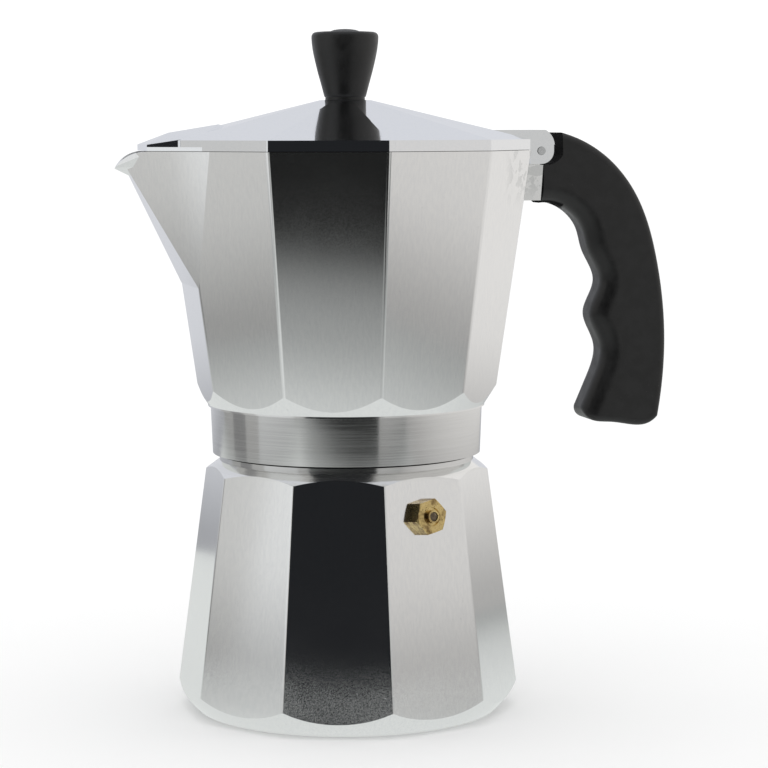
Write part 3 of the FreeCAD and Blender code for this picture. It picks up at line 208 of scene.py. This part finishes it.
def edge_shade(axis, start, end, stops):
    """A brightness that runs along one axis from start to end."""
    reach = made.new("ShaderNodeMapRange")
    reach.inputs["From Min"].default_value = start
    reach.inputs["From Max"].default_value = end
    links.new(split.outputs[axis], reach.inputs["Value"])
    ramp = made.new("ShaderNodeValToRGB")
    ramp.color_ramp.elements.remove(ramp.color_ramp.elements[1])
    for number, (spot, glow) in enumerate(stops):
        element = ramp.color_ramp.elements[0] if number == 0 else ramp.color_ramp.elements.new(spot)
        element.position = spot
        element.color = (glow, glow, glow, 1.0)
    links.new(reach.outputs["Result"], ramp.inputs["Fac"])
    return ramp.outputs["Color"]


seam_stops = [(0.0, 0.36), (0.15, 0.42), (0.30, 0.52), (0.55, 0.66), (1.0, 0.78)]
front_stops = [(0.0, 0.015), (0.10, 0.045), (0.20, 0.15), (0.30, 0.25),
               (0.42, 0.32), (0.60, 0.38), (0.80, 0.58), (1.0, 0.78)]
shades = [edge_shade("X", tent_left, tent_left + 0.22, seam_stops),
          edge_shade("X", tent_right, tent_right - 0.20, seam_stops),
          edge_shade("Y", tent_front - 0.04, tent_front + 0.20, front_stops)]
lowest = made.new("ShaderNodeMath")
lowest.operation = "MINIMUM"
links.new(shades[0], lowest.inputs[0])
links.new(shades[1], lowest.inputs[1])
lowest_too = made.new("ShaderNodeMath")
lowest_too.operation = "MINIMUM"
links.new(lowest.outputs[0], lowest_too.inputs[0])
links.new(shades[2], lowest_too.inputs[1])
ground_glow = made.new("ShaderNodeEmission")
ground_glow.inputs["Color"].default_value = (0.97, 1.0, 0.985, 1.0)
links.new(lowest_too.outputs[0], ground_glow.inputs["Strength"])
links.new(ground_glow.outputs["Emission"], made["Material Output"].inputs["Surface"])
hang("tent_ground", ground_cloth, [(tent_left, tent_front - 0.3, 0), (tent_right, tent_front - 0.3, 0),
                                   (tent_right, tent_back, 0), (tent_left, tent_back, 0)])

# ---------------------------------------------------------------- boiler
# The lower vessel, cast in aluminium: ten polished facets outside, a turned
# neck and foot, and a dull cast skin inside.


def effect(name, inputs, outputs):
    """An empty shader effect: inputs are {name: (kind, value)}, outputs {name: kind}."""
    tree = bpy.data.node_groups.new(name, "ShaderNodeTree")
    for label, (kind, value) in inputs.items():
        socket = tree.interface.new_socket(name=label, in_out="INPUT", socket_type="NodeSocket" + kind)
        if value is not None:
            socket.default_value = value
    for label, kind in outputs.items():
        tree.interface.new_socket(name=label, in_out="OUTPUT", socket_type="NodeSocket" + kind)
    return tree, tree.nodes.new("NodeGroupInput"), tree.nodes.new("NodeGroupOutput")


def step(tree, kind, operation, *feeds):
    """One Math or VectorMath node, fed with sockets or plain values."""
    node = tree.nodes.new(kind)
    node.operation = operation
    for number, feed in enumerate(feeds):
        if hasattr(feed, "is_output"):
            tree.links.new(feed, node.inputs[number])
        else:
            node.inputs[number].default_value = feed
    return node.outputs["Value"] if operation in ("DOT_PRODUCT", "LENGTH") else node.outputs[0]


def noise(tree, place, scale, detail=2.0, roughness=0.5):
    node = tree.nodes.new("ShaderNodeTexNoise")
    node.inputs["Detail"].default_value = detail
    node.inputs["Roughness"].default_value = roughness
    tree.links.new(place, node.inputs["Vector"])
    if hasattr(scale, "is_output"):
        tree.links.new(scale, node.inputs["Scale"])
    else:
        node.inputs["Scale"].default_value = scale
    return node.outputs["Fac"]


def between(tree, value, low, high, start=0.0, end=1.0):
    """Runs smoothly from start to end as the value goes from low to high."""
    node = tree.nodes.new("ShaderNodeMapRange")
    node.interpolation_type = "SMOOTHSTEP"
    for label, feed in (("Value", value), ("From Min", low), ("From Max", high), ("To Min", start), ("To Max", end)):
        if hasattr(feed, "is_output"):
            tree.links.new(feed, node.inputs[label])
        else:
            node.inputs[label].default_value = feed
    return node.outputs["Result"]


# Drawn-out grain of a polished or brushed face: a height for the bump and a
# shade for the colour.
grain, taken, given = effect(
    "grain",
    {"Place": ("Vector", None), "Stretch": ("Vector", (1.0, 1.0, 0.25)), "Fineness": ("Float", 900.0)},
    {"Height": "Float", "Shade": "Float"})
drawn = step(grain, "ShaderNodeVectorMath", "MULTIPLY", taken.outputs["Place"], taken.outputs["Stretch"])
fine = noise(grain, drawn, taken.outputs["Fineness"], 3.0, 0.6)
broad = noise(grain, drawn, step(grain, "ShaderNodeMath", "MULTIPLY", taken.outputs["Fineness"], 0.12))
grain.links.new(step(grain, "ShaderNodeMath", "ADD", fine, step(grain, "ShaderNodeMath", "MULTIPLY", broad, 0.5)),
                given.inputs["Height"])
grain.links.new(between(grain, fine, 0.35, 0.65), given.inputs["Shade"])

# Small upright marks left by polishing and handling, and the odd deeper nick.
marks, taken, given = effect(
    "marks",
    {"Place": ("Vector", None), "Size": ("Float", 0.0006), "Spread": ("Float", 0.68)},
    {"Mark": "Float"})
drawn = step(marks, "ShaderNodeVectorMath", "MULTIPLY", taken.outputs["Place"], (1.0, 1.0, 0.4))
small = noise(marks, drawn, step(marks, "ShaderNodeMath", "DIVIDE", 1.0, taken.outputs["Size"]), 1.0)
patch = noise(marks, taken.outputs["Place"], 55.0, 2.0)
sum_up = step(marks, "ShaderNodeMath", "ADD", small, step(marks, "ShaderNodeMath", "MULTIPLY", patch, 0.25))
marks.links.new(between(marks, sum_up, taken.outputs["Spread"],
                        step(marks, "ShaderNodeMath", "ADD", taken.outputs["Spread"], 0.10)), given.inputs["Mark"])

# Fine rings of a turned face, by distance from the pot's axis and by height.
turning, taken, given = effect(
    "turning",
    {"Place": ("Vector", None), "Fineness": ("Float", 2600.0)},
    {"Height": "Float", "Shade": "Float"})
flat_place = step(turning, "ShaderNodeVectorMath", "MULTIPLY", taken.outputs["Place"], (1.0, 1.0, 0.0))
reach = step(turning, "ShaderNodeVectorMath", "LENGTH", flat_place)
parts = turning.nodes.new("ShaderNodeSeparateXYZ")
turning.links.new(taken.outputs["Place"], parts.inputs["Vector"])
ring_place = turning.nodes.new("ShaderNodeCombineXYZ")
turning.links.new(reach, ring_place.inputs["X"])
turning.links.new(parts.outputs["Z"], ring_place.inputs["Y"])
turning.links.new(step(turning, "ShaderNodeMath", "MULTIPLY", parts.outputs["X"], 0.012), ring_place.inputs["Z"])
rings = noise(turning, ring_place.outputs["Vector"], taken.outputs["Fineness"], 2.0, 0.7)
turning.links.new(rings, given.inputs["Height"])
turning.links.new(between(turning, rings, 0.3, 0.7), given.inputs["Shade"])

# Where a face lies between two heights, with a soft edge.
zone, taken, given = effect(
    "zone",
    {"Place": ("Vector", None), "Low": ("Float", 0.0), "High": ("Float", 0.1), "Soft": ("Float", 0.0006)},
    {"Inside": "Float"})
parts = zone.nodes.new("ShaderNodeSeparateXYZ")
zone.links.new(taken.outputs["Place"], parts.inputs["Vector"])
above = between(zone, parts.outputs["Z"],
                step(zone, "ShaderNodeMath", "SUBTRACT", taken.outputs["Low"], taken.outputs["Soft"]),
                step(zone, "ShaderNodeMath", "ADD", taken.outputs["Low"], taken.outputs["Soft"]))
below = between(zone, parts.outputs["Z"],
                step(zone, "ShaderNodeMath", "SUBTRACT", taken.outputs["High"], taken.outputs["Soft"]),
                step(zone, "ShaderNodeMath", "ADD", taken.outputs["High"], taken.outputs["Soft"]), 1.0, 0.0)
zone.links.new(step(zone, "ShaderNodeMath", "MULTIPLY", above, below), given.inputs["Inside"])

# Faces that look towards the axis, which are the inside of a vessel.
inward, taken, given = effect(
    "inward", {"Place": ("Vector", None), "Facing": ("Vector", None)}, {"Inside": "Float"})
level_place = step(inward, "ShaderNodeVectorMath", "MULTIPLY", taken.outputs["Place"], (1.0, 1.0, 0.0))
outward = step(inward, "ShaderNodeVectorMath", "NORMALIZE", level_place)
inward.links.new(between(inward, step(inward, "ShaderNodeVectorMath", "DOT_PRODUCT", outward,
                                      taken.outputs["Facing"]), -0.12, -0.04, 1.0, 0.0), given.inputs["Inside"])


def finish(name):
    """A new material: its tree, its shader and where a point lies on the object."""
    made = bpy.data.materials.new(name)
    made.use_nodes = True
    return made, made.node_tree, made.node_tree.nodes["Principled BSDF"], made.node_tree.nodes.new("ShaderNodeTexCoord")


def use(tree, group, **feeds):
    """One use of an effect, fed by the names of its inputs."""
    node = tree.nodes.new("ShaderNodeGroup")
    node.node_tree = group
    for label, feed in feeds.items():
        if hasattr(feed, "is_output"):
            tree.links.new(feed, node.inputs[label])
        else:
            node.inputs[label].default_value = feed
    return node.outputs


def blend(tree, share, first, second):
    """A value or a colour that goes from first to second as share goes from 0 to 1."""
    node = tree.nodes.new("ShaderNodeMix")
    colours = isinstance(first, tuple) or (hasattr(first, "type") and first.type == "RGBA")
    node.data_type = "RGBA" if colours else "FLOAT"
    ends = (6, 7) if colours else (2, 3)
    for number, feed in ((0, share), (ends[0], first), (ends[1], second)):
        if hasattr(feed, "is_output"):
            tree.links.new(feed, node.inputs[number])
        else:
            node.inputs[number].default_value = (*feed, 1.0) if isinstance(feed, tuple) else feed
    return node.outputs[2] if colours else node.outputs[0]


def bumped(tree, shader, height, strength, depth):
    node = tree.nodes.new("ShaderNodeBump")
    node.inputs["Strength"].default_value = strength
    node.inputs["Distance"].default_value = depth
    tree.links.new(height, node.inputs["Height"])
    tree.links.new(node.outputs["Normal"], shader.inputs["Normal"])


def cast_metal(name, turned_low, turned_high, haze_low, haze_high, floor_level):
    """Polished cast aluminium with one turned band, a hazy zone and a dull inside."""
    made, tree, shader, place = finish(name)
    spot, facing = place.outputs["Object"], place.outputs["Normal"]
    inside = use(tree, inward, Place=spot, Facing=facing)["Inside"]
    band = use(tree, zone, Place=spot, Low=turned_low, High=turned_high)["Inside"]
    haze = use(tree, zone, Place=spot, Low=haze_low, High=haze_high, Soft=0.008)["Inside"]
    foot = use(tree, zone, Place=spot, Low=-0.01, High=floor_level, Soft=0.0004)["Inside"]
    turned = step(tree, "ShaderNodeMath", "MAXIMUM", band, foot)
    fine = use(tree, grain, Place=spot, Stretch=(1.0, 1.0, 0.22), Fineness=1500.0)
    rings = use(tree, turning, Place=spot, Fineness=2600.0)
    nicks = use(tree, marks, Place=spot, Size=0.0005, Spread=0.86)["Mark"]
    skin = noise(tree, spot, 420.0, 4.0, 0.65)
    frost = noise(tree, spot, 2300.0, 2.0, 0.6)
    cloud = noise(tree, spot, 38.0, 3.0)
    polished = blend(tree, fine["Shade"], (0.845, 0.847, 0.850), (0.875, 0.875, 0.872))
    polished = blend(tree, step(tree, "ShaderNodeMath", "MULTIPLY", nicks, 0.25), polished, (0.52, 0.53, 0.54))
    lathe = blend(tree, rings["Shade"], (0.815, 0.815, 0.81), (0.86, 0.86, 0.855))
    dull = blend(tree, skin, (0.50, 0.50, 0.49), (0.70, 0.70, 0.69))
    colour = blend(tree, turned, polished, lathe)
    tree.links.new(blend(tree, inside, colour, dull), shader.inputs["Base Color"])
    shine = step(tree, "ShaderNodeMath", "ADD", between(tree, cloud, 0.3, 0.7, 0.080, 0.105),
                 between(tree, frost, 0.35, 0.65, 0.0, 0.03))
    hazy = step(tree, "ShaderNodeMath", "MULTIPLY", haze, between(tree, frost, 0.3, 0.7, 0.06, 0.13))
    shine = step(tree, "ShaderNodeMath", "ADD", shine, hazy)
    shine = step(tree, "ShaderNodeMath", "ADD", shine, step(tree, "ShaderNodeMath", "MULTIPLY", nicks, 0.06))
    shine = blend(tree, turned, shine, between(tree, rings["Shade"], 0.0, 1.0, 0.10, 0.14))
    tree.links.new(blend(tree, inside, shine, 0.46), shader.inputs["Roughness"])
    shader.inputs["Metallic"].default_value = 1.0
    relief = step(tree, "ShaderNodeMath", "ADD", step(tree, "ShaderNodeMath", "MULTIPLY", fine["Height"], 0.06),
                  step(tree, "ShaderNodeMath", "MULTIPLY", frost, 0.14))
    relief = step(tree, "ShaderNodeMath", "ADD", relief, step(tree, "ShaderNodeMath", "MULTIPLY", cloud, 0.35))
    relief = blend(tree, turned, relief, step(tree, "ShaderNodeMath", "MULTIPLY", rings["Height"], 0.16))
    bumped(tree, shader, blend(tree, inside, relief, step(tree, "ShaderNodeMath", "MULTIPLY", skin, 12.0)), 0.35, 0.00002)
    return made


boiler_metal = cast_metal("boiler_metal", 0.0752, 0.0990, 0.004, 0.020, 0.0006)
nodes["boiler"].material_slots[0].material = boiler_metal

# ---------------------------------------------------------------- safety valve
# Brass body and hexagon nut on the boiler's wall, stained by heat, with a
# sprung steel plunger inside and a fibre washer under the body's flange.


def stained_brass(name):
    made, tree, shader, place = finish(name)
    spot = place.outputs["Object"]
    stain = noise(tree, spot, 320.0, 4.0, 0.6)
    fleck = noise(tree, spot, 1900.0, 2.0)
    fine = use(tree, grain, Place=spot, Stretch=(1.0, 0.3, 1.0), Fineness=2600.0)
    clean = blend(tree, fine["Shade"], (0.60, 0.45, 0.19), (0.72, 0.55, 0.25))
    aged = blend(tree, between(tree, stain, 0.46, 0.66), clean, (0.26, 0.17, 0.075))
    tree.links.new(blend(tree, between(tree, fleck, 0.62, 0.72), aged, (0.10, 0.07, 0.04)), shader.inputs["Base Color"])
    tree.links.new(between(tree, stain, 0.35, 0.7, 0.20, 0.42), shader.inputs["Roughness"])
    shader.inputs["Metallic"].default_value = 1.0
    bumped(tree, shader, fine["Height"], 0.4, 0.00003)
    return made


valve_brass = stained_brass("valve_brass")
for name in ("safety_valve_body", "safety_valve_nut"):
    nodes[name].material_slots[0].material = valve_brass

valve_steel, tree, shader, place = finish("valve_steel")
worn = noise(tree, place.outputs["Object"], 700.0, 3.0)
tree.links.new(blend(tree, between(tree, worn, 0.4, 0.65), (0.30, 0.24, 0.17), (0.13, 0.10, 0.07)),
               shader.inputs["Base Color"])
tree.links.new(between(tree, worn, 0.3, 0.7, 0.28, 0.45), shader.inputs["Roughness"])
shader.inputs["Metallic"].default_value = 1.0
bumped(tree, shader, worn, 0.3, 0.00003)
for name in ("safety_valve_plunger", "safety_valve_spring"):
    nodes[name].material_slots[0].material = valve_steel

washer_fibre, tree, shader, place = finish("washer_fibre")
fibres = use(tree, grain, Place=place.outputs["Object"], Stretch=(1.0, 0.2, 1.0), Fineness=1400.0)
tree.links.new(blend(tree, fibres["Shade"], (0.28, 0.10, 0.05), (0.38, 0.16, 0.09)), shader.inputs["Base Color"])
tree.links.new(between(tree, fibres["Shade"], 0.0, 1.0, 0.72, 0.88), shader.inputs["Roughness"])
bumped(tree, shader, fibres["Height"], 0.5, 0.00005)
nodes["safety_valve_washer"].material_slots[0].material = washer_fibre

# ---------------------------------------------------------------- basket, sieve and funnel
# Coffee basket drawn from aluminium sheet, its perforated floor, and the
# tube that brings the water up. The column's cap and the filter match them.
sheet_metal, tree, shader, place = finish("sheet_metal")
spot = place.outputs["Object"]
drawn_lines = use(tree, turning, Place=spot, Fineness=1800.0)
dim = noise(tree, spot, 60.0, 3.0)
bright = blend(tree, drawn_lines["Shade"], (0.74, 0.74, 0.73), (0.84, 0.84, 0.83))
tree.links.new(blend(tree, between(tree, dim, 0.5, 0.75), bright, (0.62, 0.60, 0.57)), shader.inputs["Base Color"])
tree.links.new(between(tree, dim, 0.3, 0.7, 0.24, 0.40), shader.inputs["Roughness"])
shader.inputs["Metallic"].default_value = 1.0
bumped(tree, shader, drawn_lines["Height"], 0.4, 0.00003)
for name in ("coffee_basket", "basket_sieve", "funnel_tube", "filter_plate", "column_cap"):
    nodes[name].material_slots[0].material = sheet_metal

# ---------------------------------------------------------------- gasket
# Off-white rubber ring that seals the boiler's rim, slightly browned by coffee.
gasket_rubber, tree, shader, place = finish("gasket_rubber")
soiled = noise(tree, place.outputs["Object"], 120.0, 4.0, 0.6)
tree.links.new(blend(tree, between(tree, soiled, 0.45, 0.75), (0.78, 0.75, 0.68), (0.52, 0.42, 0.30)),
               shader.inputs["Base Color"])
tree.links.new(between(tree, soiled, 0.3, 0.7, 0.55, 0.75), shader.inputs["Roughness"])
bumped(tree, shader, soiled, 0.3, 0.0001)
nodes["gasket"].material_slots[0].material = gasket_rubber

# ---------------------------------------------------------------- collector and column
# The upper vessel with its spout, cast like the boiler, above a turned collar
# with the thread; the turned column inside it brings the coffee up.
collector_metal = cast_metal("collector_metal", 0.0700, 0.0946, 0.0900, 0.0960, -0.02)
for name in ("collector", "coffee_column"):
    nodes[name].material_slots[0].material = collector_metal

# Painted reflection: a darker grey, rougher patch on the facets beside the hinge stands in for the handle's reflection
# there.
tree = collector_metal.node_tree
shader = tree.nodes["Principled BSDF"]
spot = next(node for node in tree.nodes if node.type == "TEX_COORD").outputs["Object"]
at = tree.nodes.new("ShaderNodeSeparateXYZ")
tree.links.new(spot, at.inputs["Vector"])
handle_reflection_patch = between(tree, noise(tree, spot, 210.0, 3.0, 0.6), 0.50, 0.54)
for edge in (between(tree, at.outputs["X"], 0.040, 0.046), between(tree, at.outputs["Z"], 0.154, 0.164)):
    handle_reflection_patch = step(tree, "ShaderNodeMath", "MULTIPLY", handle_reflection_patch, edge)
# Inside the painted reflection patch the base colour is darkened and the roughness raised.
for label, reflection_to in (("Base Color", (0.66, 0.67, 0.67)), ("Roughness", 0.30)):
    before = shader.inputs[label].links[0].from_socket
    tree.links.new(blend(tree, step(tree, "ShaderNodeMath", "MULTIPLY", handle_reflection_patch, 0.6), before, reflection_to),
                   shader.inputs[label])

# ---------------------------------------------------------------- lid and hinge pin
# Polished cast lid, a little bluer than the body, dull underneath, on a steel pin.
lid_metal, tree, shader, place = finish("lid_metal")
spot = place.outputs["Object"]
facing = tree.nodes.new("ShaderNodeSeparateXYZ")
tree.links.new(place.outputs["Normal"], facing.inputs["Vector"])
under = between(tree, facing.outputs["Z"], -0.5, -0.25, 1.0, 0.0)
fine = use(tree, grain, Place=spot, Stretch=(1.0, 1.0, 1.0), Fineness=1300.0)
nicks = use(tree, marks, Place=spot, Size=0.0005, Spread=0.88)["Mark"]
cloud = noise(tree, spot, 45.0, 3.0)
bright = blend(tree, fine["Shade"], (0.855, 0.868, 0.890), (0.880, 0.888, 0.905))
bright = blend(tree, step(tree, "ShaderNodeMath", "MULTIPLY", nicks, 0.25), bright, (0.55, 0.56, 0.58))
tree.links.new(blend(tree, under, bright, (0.62, 0.62, 0.61)), shader.inputs["Base Color"])
shine = step(tree, "ShaderNodeMath", "ADD", between(tree, cloud, 0.3, 0.7, 0.055, 0.085),
             step(tree, "ShaderNodeMath", "MULTIPLY", nicks, 0.10))
tree.links.new(blend(tree, under, shine, 0.42), shader.inputs["Roughness"])
shader.inputs["Metallic"].default_value = 1.0
relief = step(tree, "ShaderNodeMath", "ADD", step(tree, "ShaderNodeMath", "MULTIPLY", fine["Height"], 0.08),
              step(tree, "ShaderNodeMath", "MULTIPLY", cloud, 0.35))
bumped(tree, shader, relief, 0.35, 0.00002)
nodes["lid"].material_slots[0].material = lid_metal

pin_steel, tree, shader, place = finish("pin_steel")
drawn_pin = use(tree, grain, Place=place.outputs["Object"], Stretch=(1.0, 0.1, 1.0), Fineness=2400.0)
tree.links.new(blend(tree, drawn_pin["Shade"], (0.52, 0.53, 0.54), (0.70, 0.71, 0.72)), shader.inputs["Base Color"])
tree.links.new(between(tree, drawn_pin["Shade"], 0.0, 1.0, 0.20, 0.34), shader.inputs["Roughness"])
shader.inputs["Metallic"].default_value = 1.0
bumped(tree, shader, drawn_pin["Height"], 0.3, 0.00002)
for name in ("hinge_pin", "knob_screw", "handle_screw"):
    nodes[name].material_slots[0].material = pin_steel

# ---------------------------------------------------------------- knob
# Moulded black phenolic knob, flared upwards, with a rounded rim and a low
# dome on top, drawn down on its spacer by a screw from inside the lid.
phenolic, tree, shader, place = finish("phenolic")
spot = place.outputs["Object"]
mottle = noise(tree, spot, 260.0, 4.0, 0.6)
pitted = noise(tree, spot, 2400.0, 2.0)
dust = use(tree, marks, Place=spot, Size=0.0004, Spread=0.90)["Mark"]
black = blend(tree, between(tree, mottle, 0.35, 0.65), (0.0050, 0.0050, 0.0052), (0.0085, 0.0085, 0.0088))
tree.links.new(blend(tree, step(tree, "ShaderNodeMath", "MULTIPLY", dust, 0.25), black, (0.16, 0.16, 0.15)),
               shader.inputs["Base Color"])
# Painted shade: in the handle's recess, faces that don't look sideways are made rough and almost without specular, so
# the recess stays black as if shaded.
at = tree.nodes.new("ShaderNodeSeparateXYZ")
tree.links.new(spot, at.inputs["Vector"])
recess = step(tree, "ShaderNodeMath", "MULTIPLY", between(tree, at.outputs["X"], 0.050, 0.052),
              between(tree, at.outputs["X"], 0.0684, 0.0688, 1.0, 0.0))
facing = tree.nodes.new("ShaderNodeSeparateXYZ")
tree.links.new(place.outputs["Normal"], facing.inputs["Vector"])
recess = step(tree, "ShaderNodeMath", "MULTIPLY", recess,
              between(tree, step(tree, "ShaderNodeMath", "ABSOLUTE", facing.outputs["Y"]), 0.4, 0.6, 1.0, 0.0))
tree.links.new(blend(tree, recess, between(tree, mottle, 0.3, 0.7, 0.36, 0.46), 0.85), shader.inputs["Roughness"])
tree.links.new(blend(tree, recess, 0.45, 0.04), shader.inputs["Specular IOR Level"])
bumped(tree, shader, step(tree, "ShaderNodeMath", "ADD", pitted, step(tree, "ShaderNodeMath", "MULTIPLY", mottle, 2.0)),
       0.25, 0.00003)

knob_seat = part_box("knob")[0][2]
knob_rings = [                         # radius and height over the seat, in millimetres
    (2.1, 0.0), (6.15, 0.0), (6.4, 0.2), (6.85, 1.9), (7.3, 3.6), (7.8, 5.4), (8.3, 7.2), (8.75, 9.0),
    (9.2, 10.9), (9.62, 12.8), (9.95, 14.6), (10.17, 16.4), (10.27, 17.7), (10.28, 18.4), (10.18, 18.9),
    (9.9, 19.35), (9.5, 19.65), (8.95, 19.82), (8.0, 19.88), (6.4, 19.88), (4.9, 19.88), (4.3, 20.15),
    (3.3, 20.5), (1.8, 20.7), (0.5, 20.78)]
bpy.ops.mesh.primitive_circle_add(vertices=96, radius=2.1 / 1000, fill_type="NGON",
                                  location=(0.0, 0.0, knob_seat + 0.010))
knob = bpy.context.object
knob.name = "knob_moulding"
bpy.ops.object.transform_apply(location=True, rotation=False, scale=False)
bpy.ops.object.mode_set(mode="EDIT")
bpy.ops.mesh.select_all(action="DESELECT")
bpy.ops.mesh.select_non_manifold(extend=False, use_wire=True, use_boundary=True, use_multi_face=False,
                                 use_non_contiguous=False, use_verts=False)
was_radius, was_height = 2.1, 10.0
for ring_radius, ring_height in knob_rings:
    bpy.ops.mesh.extrude_region_move(
        TRANSFORM_OT_translate={"value": (0.0, 0.0, (ring_height - was_height) / 1000)})
    share = ring_radius / was_radius
    bpy.ops.transform.resize(value=(share, share, 1.0))
    was_radius, was_height = ring_radius, ring_height
bpy.ops.mesh.edge_face_add()
bpy.ops.mesh.select_all(action="SELECT")
bpy.ops.mesh.normals_make_consistent(inside=False)
bpy.ops.object.mode_set(mode="OBJECT")
bpy.ops.object.shade_smooth_by_angle(angle=math.radians(38.0))
knob.data.materials.append(phenolic)
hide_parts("knob")
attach(knob, "lid")
nodes["knob"].material_slots[0].material = phenolic
nodes["knob_spacer"].material_slots[0].material = phenolic

# ---------------------------------------------------------------- handle
# Moulded in the same phenolic, with two finger hollows, pushed over the
# collector's tenon. It is kept out of the metal's mirror image.
nodes["handle"].material_slots[0].material = phenolic
nodes["handle"].visible_glossy = False
